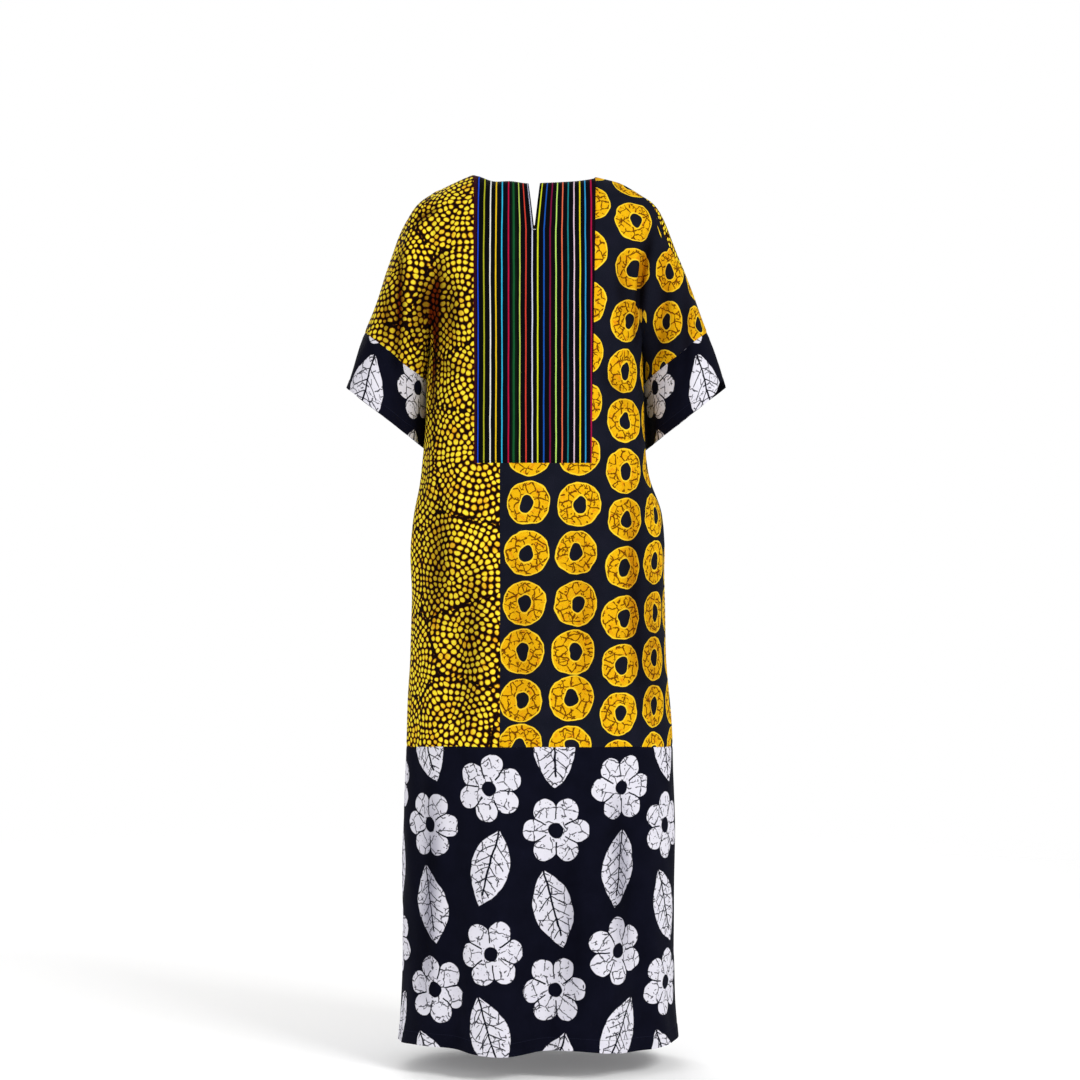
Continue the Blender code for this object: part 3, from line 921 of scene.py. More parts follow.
    def band_chart(self, face: Face, along: Array, points: Array) -> Array:
        """Flat chart of a sleeve band: round the loop from its top, and down from its seam."""
        middle = int(np.argmin(np.abs(along - (self.form.band_start + 1.0) / 2.0)))
        moves = np.linalg.norm(np.diff(points[middle], axis=0), axis=1)
        around = np.concatenate([[0.0], np.cumsum(moves)]) * face.sign
        seam = int(np.argmin(np.abs(along - self.form.band_start)))
        drops = np.linalg.norm(np.diff(points, axis=0), axis=2)
        down = np.concatenate([np.zeros((1, points.shape[1])), np.cumsum(drops, axis=0)])
        down = down - down[seam]
        return np.stack([np.broadcast_to(around, down.shape), down], axis=-1)

    def add_grid(self, name: str, points: Array, pieces: Array, charts: dict, inside: Array) -> None:
        """Keep a grid, with its own numbers for its points."""
        ids = self.count + np.arange(points.shape[0] * points.shape[1]).reshape(points.shape[:2])
        self.count += ids.size
        self.grids[name] = Grid(points, pieces, charts, ids, inside)

    def border_ids(self) -> Array:
        """Numbers of the points that may lie on another grid's or span's edge."""
        chosen = []
        for grid in self.grids.values():
            chosen += [grid.ids[0], grid.ids[-1], grid.ids[:, 0], grid.ids[:, -1]]
            for c in grid.joints():
                chosen += [grid.ids[:, c], grid.ids[:, c + 1]]
        return np.unique(np.concatenate(chosen))

    def join(self) -> None:
        """Weld the grids and list every cell as a quad that faces outward."""
        points = np.concatenate([grid.points.reshape(-1, 3) for grid in self.grids.values()])
        border = self.border_ids()
        tree = KDTree(len(border))
        for k in border:
            tree.insert(points[k], int(k))
        tree.balance()
        self.same = np.arange(len(points))
        for k in border:
            self.same[k] = min(index for _, index, _ in tree.find_range(points[k], self.weld))
        quads, labels, flats = [], [], []
        for grid in self.grids.values():
            ids = grid.ids
            corners = np.stack([ids[:-1, :-1], ids[:-1, 1:], ids[1:, 1:], ids[1:, :-1]], axis=-1)
            at = points[corners]
            normal = np.cross(at[..., 2, :] - at[..., 0, :], at[..., 3, :] - at[..., 1, :])
            outward = np.sum(normal * (at.mean(axis=2) - grid.inside), axis=-1)
            flip = np.median(outward[grid.pieces != NO_PIECE]) < 0.0
            order = [3, 2, 1, 0] if flip else [0, 1, 2, 3]
            for number in np.unique(grid.pieces[grid.pieces != NO_PIECE]):
                chosen = grid.pieces == number
                flat = grid.charts[PIECES[number]].reshape(-1, 2)
                found = corners[chosen][:, order]
                quads.append(self.same[found])
                labels.append(np.full(int(chosen.sum()), number))
                flats.append(flat[found - ids[0, 0]])
        self.points = points
        self.quads = np.concatenate(quads)
        self.labels = np.concatenate(labels)
        self.flats = np.concatenate(flats)

    def find_normals(self) -> Array:
        """Outward unit normal of each point, over all the quads that meet there."""
        at = self.points[self.quads]
        normal = np.cross(at[:, 2] - at[:, 0], at[:, 3] - at[:, 1])
        sums = np.zeros_like(self.points)
        for corner in range(4):
            np.add.at(sums, self.quads[:, corner], normal)
        length = np.linalg.norm(sums, axis=1)
        return sums / np.maximum(length, TINY)[:, None]

    def seam_points(self) -> Array:
        """Which points lie on a seam between two pieces."""
        first = np.full(len(self.points), len(PIECES))
        last = np.full(len(self.points), NO_PIECE)
        for corner in range(4):
            np.minimum.at(first, self.quads[:, corner], self.labels)
            np.maximum.at(last, self.quads[:, corner], self.labels)
        return last > first

    def next_to(self, chosen: Array) -> Array:
        """Which points share a quad with the chosen ones, without those."""
        touched = chosen[self.quads].any(axis=1)
        near = np.zeros_like(chosen)
        near[self.quads[touched].ravel()] = True
        return near & ~chosen

    def crease_moves(self, normals: Array) -> Array:
        """How the listed creases move each point, in depth and toward their middle lines."""
        moves = np.zeros_like(self.points)
        # Crease mask that the materials paint as shade in the creases.
        self.fold = np.zeros(len(self.points))
        for face in Face:
            facing = ease((normals[:, 1] * face.sign - self.facing_start) * self.facing_rate)
            for crease in CREASES[face]:
                moves += self.press(crease, face, normals, facing)
        return moves

    def press(self, crease: Crease, face: Face, normals: Array, facing: Array) -> Array:
        """Press one crease into the cloth.

        Args:
            crease: The crease.
            face: The face of the dress that it is on.
            normals: Outward normal of each point.
            facing: How far each point faces that way, from 0 to 1.

        Returns:
            How far each point moves.
        """
        run = np.array([crease.x_end - crease.x_start, crease.z_end - crease.z_start])
        length = float(np.hypot(*run))
        ahead = run / length
        aside = np.array([-ahead[1], ahead[0]])
        x = self.points[:, 0] - crease.x_start
        z = self.points[:, 2] - crease.z_start
        within = np.clip((x * ahead[0] + z * ahead[1]) / length, 0.0, 1.0)
        arch = np.sin(math.pi * within)
        off = x * aside[0] + z * aside[1] - crease.bow * arch
        place = self.ridge_place * crease.width
        ridges = bell(off - place, crease.width) + bell(off + place, crease.width)
        shape = self.crease_ridge * ridges - bell(off, crease.width)
        share = arch ** self.crease_taper * facing
        way = normals * crease.roll
        way[:, 1] += face.sign * (1.0 - crease.roll)
        moves = (self.crease_strength * crease.depth * share * shape)[:, None] * way
        strength = min(crease.depth / self.full_pull, 1.0)
        pull = -off * bell(off, self.pull_reach * crease.width) * self.crease_pull * share * strength
        moves[:, 0] += pull * aside[0]
        moves[:, 2] += pull * aside[1]
        # Painted crease shade mask: strongest on the crease's middle line.
        self.fold += self.fold_gain * strength * bell(off, self.fold_reach * crease.width) * share
        return moves

    def sway_depth(self) -> Array:
        """Slight uneven sway of the cloth, longer down than across."""
        chance = np.random.default_rng(self.seed)
        out = np.zeros(len(self.points))
        for _ in range(self.sway_waves):
            wave = TURN / chance.uniform(*self.sway_lengths)
            heading = chance.uniform(0.0, TURN)
            lean = chance.uniform(-self.sway_lean, self.sway_lean)
            way = np.array([math.cos(heading), math.sin(heading), lean]) * wave
            out += np.cos(self.points @ way + chance.uniform(0.0, TURN))
        return out * self.sway

    def crease(self) -> None:
        """Move the points by the creases, the sway and the seams' grooves."""
        normals = self.find_normals()
        seam = self.seam_points()
        beside = self.next_to(seam)
        further = self.next_to(seam | beside)
        out = self.sway_depth()
        out[seam] -= self.seam_groove
        out[beside] -= self.seam_groove * self.groove_side
        out[further] += self.seam_lip
        for row, below in self.turned_rows():
            out[self.same[row]] -= self.stitch_sink
            out[self.same[below]] += self.turn_lift
        self.points = self.points + normals * out[:, None] + self.crease_moves(normals)
        self.normals = self.find_normals()

    def hem_row(self) -> int:
        """Grid row of the hem's stitches."""
        form = self.form
        share = self.hem_turn / (form.hem_seam - form.hem)
        row = form.last_row - (form.last_row - form.hem_rows) * share
        return int(np.argmin(np.abs(self.rows - row)))

    def turned_rows(self) -> list[tuple[Array, Array]]:
        """Numbers of the points on each row of hem stitches, and of those on the turned cloth beyond."""
        found = []
        hem = self.hem_row()
        for face in Face:
            ids = self.grids[face.value].ids
            found.append((ids[hem], np.unique(self.same[ids[hem + 1:]])))
            for side in SIDES:
                ids = self.grids[f"{face.value}_{side}"].ids
                cuff = self.cuff_line(len(ids))
                found.append((ids[cuff], np.unique(self.same[ids[cuff + 1:]])))
        return found

    def cuff_line(self, count: int) -> int:
        """Grid line of a cuff's stitches, from the number of lines in the sleeve."""
        band = len(self.stops(self.form.band_start, 1.0, self.form.band_length)) - 1
        return count - 1 - max(1, int(round(band * self.cuff_turn)))

    def path(self, ids: Array, lift: float) -> Array:
        """Points along grid ids, lifted off the cloth."""
        ids = self.same[ids]
        ids = ids[np.concatenate([[True], ids[1:] != ids[:-1]])]
        return self.points[ids] + self.normals[ids] * lift


def new_object(name: str, data: bpy.types.ID) -> bpy.types.Object:
    """Make an object and link it to the scene."""
    made = bpy.data.objects.new(name, data)
    bpy.context.scene.collection.objects.link(made)
    return made


def new_material(name: str) -> bpy.types.Material:
    """A material with nodes."""
    material = bpy.data.materials.new(name)
    material.use_nodes = True
    return material


def sheet_mesh(name: str, points: Array, faces: Array, flats: Array, fold: Array) -> bpy.types.Object:
    """Make an object from quads with a flat chart.

    Args:
        name: Name of the piece.
        points: Its points.
        faces: Four point numbers for each face.
        flats: The flat place of each corner, in metres.
        fold: How deep in a crease each point lies, from 0 to 1; the materials darken the colour there as
            painted crease shade.

    Returns:
        The new object, linked to the scene.
    """
    mesh = bpy.data.meshes.new(name)
    mesh.from_pydata(points.tolist(), [], faces.tolist())
    layer = mesh.uv_layers.new(name=UV_NAME)
    layer.data.foreach_set("uv", flats.astype(np.float32).ravel())
    shade = mesh.attributes.new(CREASE_SHADE_NAME, "FLOAT", "POINT")
    shade.data.foreach_set("value", fold.astype(np.float32))
    mesh.shade_smooth()
    mesh.set_sharp_from_angle(angle=SHARP_ANGLE)
    return new_object(name, mesh)


@dataclass
class ClothPiece:
    """One cut piece of cloth: a thin closed shell on the shared surface."""

    node: str
    slot: str
    flat: Pair
    area: float
    wall: float = 0.0009
    seam_gap: float = 0.00012

    def build(self, surface: ClothSurface, material: bpy.types.Material) -> bpy.types.Object:
        """Args:
            surface: The welded surface of the dress.
            material: The piece's cloth.

        Returns:
            The finished piece.
        """
        chosen = surface.labels == PIECES.index(self.node)
        flats = surface.flats[chosen]
        used, local = np.unique(surface.quads[chosen], return_inverse=True)
        quads = local.reshape(-1, 4)
        outer = surface.points[used]
        outer = outer + self.seam_shift(quads, outer, surface.seam_points()[used])
        inner = outer - surface.normals[used] * self.wall
        count = len(used)
        starts = quads.ravel()
        ends = np.roll(quads, -1, axis=1).ravel()
        open_edge = ~np.isin(starts * count + ends, ends * count + starts)
        a, b = starts[open_edge], ends[open_edge]
        rim = np.stack([b, a, a + count, b + count], axis=1)
        a_flat = flats.reshape(-1, 2)[open_edge]
        b_flat = np.roll(flats, -1, axis=1).reshape(-1, 2)[open_edge]
        rim_flat = np.stack([b_flat, a_flat, a_flat, b_flat], axis=1)
        faces = np.concatenate([quads, quads[:, ::-1] + count, rim])
        corner_flats = np.concatenate([flats, flats[:, ::-1], rim_flat])
        # Crease mask from the surface, which the materials turn into painted crease shade; the same on both
        # walls.
        fold = np.tile(np.clip(surface.fold[used], 0.0, 1.0), 2)
        points = np.concatenate([outer, inner])
        piece = sheet_mesh(f"{self.node}_cloth", points, faces, corner_flats, fold)
        piece.data.materials.append(material)
        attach(piece, BODY)
        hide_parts(self.node)
        LOG.info("%s: %d faces", piece.name, len(faces))
        return piece

    def seam_shift(self, quads: Array, points: Array, on_seam: Array) -> Array:
        """How far each seam point is drawn back from its seam, so that two pieces don't meet."""
        sums = np.zeros_like(points)
        middles = points[quads].mean(axis=1)
        for corner in range(4):
            np.add.at(sums, quads[:, corner], middles - points[quads[:, corner]])
        length = np.maximum(np.linalg.norm(sums, axis=1), TINY)
        shift = sums / length[:, None] * self.seam_gap / 2.0
        shift[~on_seam] = 0.0
        return shift


def rgb(red: float, green: float, blue: float) -> Colour:
    """A screen colour from 0 to 255 as a linear colour, by the usual sRGB curve."""
    shares = [value / 255.0 for value in (red, green, blue)]
    linear = [s / 12.92 if s <= 0.04045 else ((s + 0.055) / 1.055) ** 2.4 for s in shares]
    return (*linear, 1.0)


def maths(operation: str, swapped: bool = False) -> Callable[["Value", object], "Value"]:
    """An operator that adds a maths node after a value."""
    def run(self: "Value", other: object) -> "Value":
        """Result of the maths node."""
        pair = (other, self) if swapped else (self, other)
        return self.graph.math(operation, *pair)
    return run


class Value:
    """The output of a node, with plain arithmetic that adds maths nodes."""

    __add__ = __radd__ = maths("ADD")
    __mul__ = __rmul__ = maths("MULTIPLY")
    __sub__ = maths("SUBTRACT")
    __rsub__ = maths("SUBTRACT", swapped=True)
    __truediv__ = maths("DIVIDE")
    __rtruediv__ = maths("DIVIDE", swapped=True)

    def __init__(self, graph: "Graph", socket: bpy.types.NodeSocket) -> None:
        """Keep the output and the graph that it is in."""
        self.graph = graph
        self.socket = socket


class Graph:
    """Short calls that add and join the nodes of one tree."""

    def __init__(self, tree: bpy.types.NodeTree) -> None:
        """Keep the tree."""
        self.tree = tree

    def feed(self, node: bpy.types.Node, given: dict) -> None:
        """Link values into a node's inputs, or set them there."""
        for name, value in given.items():
            if isinstance(value, Value):
                self.tree.links.new(value.socket, node.inputs[name])
            else:
                node.inputs[name].default_value = value

    def add(self, kind: str, given: dict | None = None, **options: object) -> bpy.types.Node:
        """Add a node with its options and inputs."""
        node = self.tree.nodes.new(kind)
        for name, option in options.items():
            setattr(node, name, option)
        self.feed(node, given or {})
        return node

    def read(self, kind: str, output: str | int, given: dict | None = None, **options: object) -> Value:
        """Add a node and take one of its outputs."""
        return Value(self, self.add(kind, given, **options).outputs[output])

    def math(self, operation: str, *values: object) -> Value:
        """Result of a maths node."""
        return self.read("ShaderNodeMath", 0, dict(enumerate(values)), operation=operation)

    def vector(self, operation: str, a: object, b: object) -> Value:
        """Result of a vector maths node; a number scales."""
        second = "Scale" if operation == "SCALE" else 1
        return self.read("ShaderNodeVectorMath", 0, {0: a, second: b}, operation=operation)

    def step(self, value: Value, low: object, high: object) -> Value:
        """Smooth rise from 0 at low to 1 at high."""
        given = {"Value": value, "From Min": low, "From Max": high}
        return self.read("ShaderNodeMapRange", 0, given, interpolation_type="SMOOTHSTEP")

    def below(self, value: Value, edge: object, soft: float) -> Value:
        """1 where a value is below an edge, 0 above it, with a soft change."""
        return self.step(edge - value, -soft, soft)

    def mix(self, share: object, first: object, second: object, blend: str = "MIX") -> Value:
        """Colour between two colours."""
        given = {0: share, 6: first, 7: second}
        return self.read("ShaderNodeMix", 2, given, data_type="RGBA", blend_type=blend)

    def split(self, vector: Value) -> tuple[Value, ...]:
        """The three parts of a vector."""
        return tuple(Value(self, part) for part in self.add("ShaderNodeSeparateXYZ", {0: vector}).outputs)

    def merge(self, x: object, y: object, z: object = 0.0) -> Value:
        """A vector from its parts."""
        return self.read("ShaderNodeCombineXYZ", 0, {0: x, 1: y, 2: z})

    def noise(self, vector: Value, size: float, detail: float = 2.0, output: str = "Fac") -> Value:
        """Noise whose lumps are about a size in metres."""
        given = {"Vector": vector, "Scale": 1.0 / size, "Detail": detail}
        return self.read("ShaderNodeTexNoise", output, given, noise_dimensions="2D")

    def cells(self, vector: Value, randomness: float, feature: str) -> bpy.types.Node:
        """Scattered cells of size 1."""
        given = {"Vector": vector, "Scale": 1.0, "Randomness": randomness}
        return self.add("ShaderNodeTexVoronoi", given, voronoi_dimensions="2D", feature=feature)

    def chance(self, x: object, y: object, z: float, output: str = "Color") -> Value:
        """A random colour or value for each whole place."""
        given = {"Vector": self.merge(x, y, z)}
        return self.read("ShaderNodeTexWhiteNoise", output, given, noise_dimensions="3D")

    def nudge(self, value: object, chance: Value, amount: float) -> Value:
        """A value moved by chance, up to half an amount each way."""
        return value + (chance - 0.5) * amount

    def warp(self, vector: Value, size: float, amount: float) -> Value:
        """A vector shifted about by noise."""
        shift = self.vector("SUBTRACT", self.noise(vector, size, output="Color"), (0.5, 0.5, 0.5))
        return self.vector("ADD", vector, self.vector("SCALE", shift, amount))

    def length(self, x: Value, y: Value, power: float = 2.0) -> Value:
        """Length of a flat vector; a power over 2 gives rounded squares."""
        x_part, y_part = (self.math("POWER", self.math("ABSOLUTE", part), power) for part in (x, y))
        return self.math("POWER", x_part + y_part, 1.0 / power)


def new_tree(name: str, kind: str, inputs: dict, outputs: dict) -> tuple[Graph, dict[str, Value]]:
    """A node group.

    Args:
        name: Name of the group.
        kind: Kind of its tree.
        inputs: Kind of each input by name.
        outputs: Kind of each output by name.

    Returns:
        A graph of the group's tree, and its input values by name.
    """
    tree = bpy.data.node_groups.new(name, kind)
    for way, sockets in (("INPUT", inputs), ("OUTPUT", outputs)):
        for given, form in sockets.items():
            tree.interface.new_socket(name=given, in_out=way, socket_type=f"NodeSocket{form}")
    graph = Graph(tree)
    return graph, {socket.name: Value(graph, socket) for socket in graph.add("NodeGroupInput").outputs}


@dataclass(frozen=True)
class WaxCrackle:
    """Broken fine lines, where dye has run into cracks of the wax."""

    warps: tuple[Pair, ...] = ((0.012, 0.006), (0.004, 0.0018))
    swell_size: float = 0.009
    least_swell: float = 0.35
    swell: float = 1.3
    core: float = 0.35
    gap_size: float = 0.013
    gap_shift: Shift = (3.7, 1.9, 0.0)
    gap_top: float = 0.72
    gap_range: float = 0.44
    gap_soft: float = 0.06

    def build(self) -> bpy.types.NodeTree:
        """Build the group, which puts out a mask of the lines."""
        inputs = {"Place": "Vector", "Cell": "Float", "Width": "Float", "Share": "Float"}
        graph, given = new_tree("Wax crackle", "ShaderNodeTree", inputs, {"Lines": "Float"})
        place = given["Place"]
        for size, amount in self.warps:
            place = graph.warp(place, size, amount)
        scaled = graph.vector("SCALE", place, 1.0 / given["Cell"])
        edges = graph.cells(scaled, 1.0, "DISTANCE_TO_EDGE")
        distance = Value(graph, edges.outputs["Distance"]) * given["Cell"]
        swell = graph.noise(given["Place"], self.swell_size, 3.0) * self.swell + self.least_swell
        width = given["Width"] * swell
        line = 1.0 - graph.step(distance, width * self.core, width)
        keep = graph.noise(graph.vector("ADD", given["Place"], self.gap_shift), self.gap_size, 1.0)
        share = self.gap_top - given["Share"] * self.gap_range
        lines = line * graph.step(keep, share, share + self.gap_soft)
        graph.add("NodeGroupOutput", {"Lines": lines})
        return graph.tree


@dataclass(frozen=True)
class CottonWeave:
    """Plain weave as a height, with slubs, and the slight unevenness of printed cotton."""

    slub_size: float = 0.0011
    slub_stretch: Shift = (1.0, 0.22, 1.0)
    soft_size: float = 0.010
    soft_share: float = 1.5
    weave_share: float = 0.35
    mottle_size: float = 0.035

    def build(self) -> bpy.types.NodeTree:
        """Build the group, which puts out the weave's height, its shade and the mottle."""
        outputs = {name: "Float" for name in ("Height", "Shade", "Mottle")}
        inputs = {"Place": "Vector", "Thread": "Float"}
        graph, given = new_tree("Cotton weave", "ShaderNodeTree", inputs, outputs)
        place = given["Place"]
        turn = TURN / given["Thread"]
        warp, weft = (graph.math("SINE", part * turn) for part in graph.split(place)[:2])
        weave = warp * weft * 0.5 + 0.5
        slub = graph.noise(graph.vector("MULTIPLY", place, self.slub_stretch), self.slub_size)
        soft = graph.noise(place, self.soft_size, 3.0)
        graph.add("NodeGroupOutput", {
            "Height": weave * self.weave_share + (slub + soft * self.soft_share),
            "Shade": slub * 0.5 + weave * 0.5,
            "Mottle": graph.noise(place, self.mottle_size, 4.0),
        })
        return graph.tree


class Crackle(NamedTuple):
    """A layer of wax crackle: its cell size, its line width, how much of it shows, and its shift."""

    cell: float
    width: float
    share: float
    shift: Shift = (0.0, 0.0, 0.0)


class Patches(NamedTuple):
    """Soft patches: their size, their detail, the noise that they start and end at, and their shift."""

    size: float
    detail: float
    low: float
    high: float
    shift: Shift = (0.0, 0.0, 0.0)


class ClothGraph(Graph):
    """The nodes of one cloth's material, with its flat place in metres and its weave."""

    def __init__(self, tree: bpy.types.NodeTree, groups: Groups, thread: float) -> None:
        """Read the cloth's chart and its weave."""
        super().__init__(tree)
        self.groups = groups
        self.place = self.read("ShaderNodeUVMap", "UV", uv_map=UV_NAME)
        weave = {"Place": self.place, "Thread": thread}
        cotton = self.add("ShaderNodeGroup", weave, node_tree=groups["cotton"])
        self.height, self.shade, self.mottle = (Value(self, output) for output in cotton.outputs)

    def shifted(self, shift: Shift) -> Value:
        """The cloth's place, moved so that a noise isn't used twice."""
        return self.vector("ADD", self.place, shift)

    def crackle(self, layers: tuple[Crackle, ...]) -> Value:
        """Lines of every crackle layer together."""
        lines = 0.0
        for layer in layers:
            given = {"Cell": layer.cell, "Width": layer.width, "Share": layer.share}
            given["Place"] = self.shifted(layer.shift)
            more = self.read("ShaderNodeGroup", "Lines", given, node_tree=self.groups["crackle"])
            lines = self.math("MAXIMUM", lines, more)
        return lines

    def patches(self, patches: Patches) -> Value:
        """Mask of soft patches."""
        noise = self.noise(self.shifted(patches.shift), patches.size, patches.detail)
        return self.step(noise, patches.low, patches.high)

    def mottled(self, pair: tuple[Colour, Colour]) -> Value:
        """Colour that drifts between two colours."""
        return self.mix(self.mottle, *pair)


@dataclass(frozen=True)
class Cloth:
    """A printed cotton: its print is drawn by the subclass; its weave, its painted crease shade and its
    shader here.
    """

    name: str
    roughness: float = 0.68
    rough_range: float = 0.12
    sheen: float = 0.008
    sheen_roughness: float = 0.45
    specular: float = 0.02
    thread: float = 0.00062
    bump: float = 0.00016
    bump_strength: float = 0.8
    shade: float = 0.12
    shade_tint: Colour = rgb(96, 92, 92)
    # Strength and tint of the painted shade in creases, multiplied into the print by the fold attribute.
    fold_shade: float = 1.0
    fold_tint: Colour = rgb(156, 84, 46)
    soft: float = 0.0005

    def print(self, graph: ClothGraph) -> Value:
        """Colour of the print."""
        raise NotImplementedError

    def material(self, groups: Groups) -> bpy.types.Material:
        """Build the cloth's material.

        Args:
            groups: The shared node groups.

        Returns:
            The material.
        """
        material = new_material(self.name)
        graph = ClothGraph(material.node_tree, groups, self.thread)
        # Painted crease shade: the fold attribute darkens the colour towards the crease shade tint, in place
        # of shade from light.
        fold = graph.read("ShaderNodeAttribute", "Fac", attribute_name=CREASE_SHADE_NAME)
        colour = graph.mix(graph.shade * self.shade, self.print(graph), self.shade_tint, "MULTIPLY")
        bump = {"Strength": self.bump_strength, "Distance": self.bump, "Height": graph.height}
        graph.feed(graph.tree.nodes["Principled BSDF"], {
            "Base Color": graph.mix(fold * self.fold_shade, colour, self.fold_tint, "MULTIPLY"),
            "Roughness": graph.mottle * self.rough_range + self.roughness,
            "Sheen Weight": self.sheen,
            "Sheen Roughness": self.sheen_roughness,
            "Specular IOR Level": self.specular,
            "Normal": graph.read("ShaderNodeBump", "Normal", bump),
        })
        return material


@dataclass(frozen=True)
class RingCloth(Cloth):
    """Navy cloth with upright rows of crackled yellow rings."""

    # Weaker painted crease shade on the ringed cloth.
    fold_shade: float = 0.6
    ring_radius: float = 0.0359
    least_ring: float = 0.955
    soft: float = 0.0004
    ring_range: float = 0.07
    ring_power: float = 2.15
    hole_radius: float = 0.0113
    hole_stretch: float = 0.80
    lobes: float = 3.0
    lobe_depth: float = 0.08
    seed: float = 0.37
    hole_soft: float = 0.0008
    hole_nudge: Pair = (0.006, 0.004)
    column_pitch: float = 0.0830
    first_column: float = 0.0861
    column_lean: float = -0.0320
    first_row: float = 0.0447
    row_density: float = 11.44
    row_tightening: float = 0.9325
    side_drop: float = 0.31
    outer_rise: float = 0.12
    rise_from: Pair = (0.42, 0.52)
    side_squeeze: float = 0.08
    ring_nudge: Pair = (0.0035, 0.0045)
    wobble_size: float = 0.020
    wobble: float = 0.0048
    hole_wobble: float = 0.005
    rim: float = 0.0020
    rim_soft: float = 0.0006
    hole_rim: Pair = (0.0012, 0.0026)
    halo: float = 0.0009
    cracks: tuple[Crackle, ...] = (
        Crackle(0.0150, 0.0016, 0.92),
        Crackle(0.0090, 0.0013, 0.40, (5.0, 3.0, 0.0)),
    )
    crack_colour: Colour = rgb(84, 26, 4)
    crack_share: float = 0.92
    stains: Patches = Patches(0.011, 3.0, 0.56, 0.80, (8.0, 2.0, 0.0))
    stain_colour: Colour = rgb(222, 120, 12)
    stain_share: float = 0.85
    amber: tuple[Colour, Colour] = (rgb(226, 162, 3), rgb(238, 184, 8))
    rim_colour: Colour = rgb(255, 214, 46)
    rim_share: float = 0.9
    navy: tuple[Colour, Colour] = (rgb(15, 16, 28), rgb(29, 28, 42))
    navy_tint: Colour = rgb(16, 28, 30)
    tint_shift: Shift = (1.0, 7.0, 0.0)
    tint_size: float = 0.060
    tint_share: float = 0.35
    halo_colour: Colour = rgb(52, 34, 20)
    halo_share: float = 0.5

    def ring_place(self, graph: ClothGraph) -> tuple[Value, ...]:
        """Place in the nearest ring's own cell, and its column and row."""
        u, v, _ = graph.split(graph.place)
        across = (u - (v * self.column_lean + self.first_column)) / self.column_pitch
        beyond = graph.math("MAXIMUM", across - 1.0, 0.0)
        across = across + beyond * self.side_squeeze
        column = graph.math("ROUND", across)
        down = (v - self.first_row) * (v * self.row_tightening + self.row_density)
        down = down - graph.math("GREATER_THAN", column, 0.5) * self.side_drop
        outer = graph.math("GREATER_THAN", column, 1.5) * graph.step(v, *self.rise_from)
        down = down + outer * self.outer_rise
        row = graph.math("ROUND", down)
        top_density = self.row_density - self.row_tightening * self.first_row
        density = v * (2.0 * self.row_tightening) + top_density
        return (across - column) * self.column_pitch, (down - row) / density, column, row

    def print(self, graph: ClothGraph) -> Value:
        """Colour of the ringed cloth."""
        x, y, column, row = self.ring_place(graph)
        red, green, blue = graph.split(graph.chance(column, row, self.seed))
        x = graph.nudge(x, red, self.ring_nudge[0])
        y = graph.nudge(y, green, self.ring_nudge[1])
        outer_wobble, inner_wobble, _ = graph.split(graph.noise(graph.place, self.wobble_size, 1.0, "Color"))
        distance = graph.nudge(graph.length(x, y, self.ring_power), outer_wobble, self.wobble)
        edge = (blue * self.ring_range + self.least_ring) * self.ring_radius
        lobes = graph.math("COSINE", graph.math("ARCTAN2", y, x) * self.lobes + green * TURN)
        hole = (lobes * self.lobe_depth + 1.0) * self.hole_radius
        hole = graph.nudge(hole, inner_wobble, self.hole_wobble)
        hole_y = graph.nudge(y, red, self.hole_nudge[1]) * self.hole_stretch
        inner = graph.length(graph.nudge(x, green, self.hole_nudge[0]), hole_y)
        filled = graph.below(distance, edge, self.soft) * (1.0 - graph.below(inner, hole, self.soft))
        deep = graph.below(distance, edge - self.rim, self.rim_soft)
        deep = deep * graph.step(inner - hole, *self.hole_rim)
        halo = graph.below(distance, edge + self.halo, self.rim_soft)
        halo = halo * (1.0 - graph.below(inner, hole, self.hole_soft))
        stains = graph.patches(self.stains) * self.stain_share
        amber = graph.mix(stains, graph.mottled(self.amber), self.stain_colour)
        amber = graph.mix(deep * self.rim_share, self.rim_colour, amber)
        amber = graph.mix(graph.crackle(self.cracks) * deep * self.crack_share, amber, self.crack_colour)
        tint = graph.noise(graph.shifted(self.tint_shift), self.tint_size, 3.0)
        navy = graph.mix(tint * self.tint_share, graph.mottled(self.navy), self.navy_tint)
        navy = graph.mix(halo * self.halo_share, navy, self.halo_colour)
        return graph.mix(filled, navy, amber)


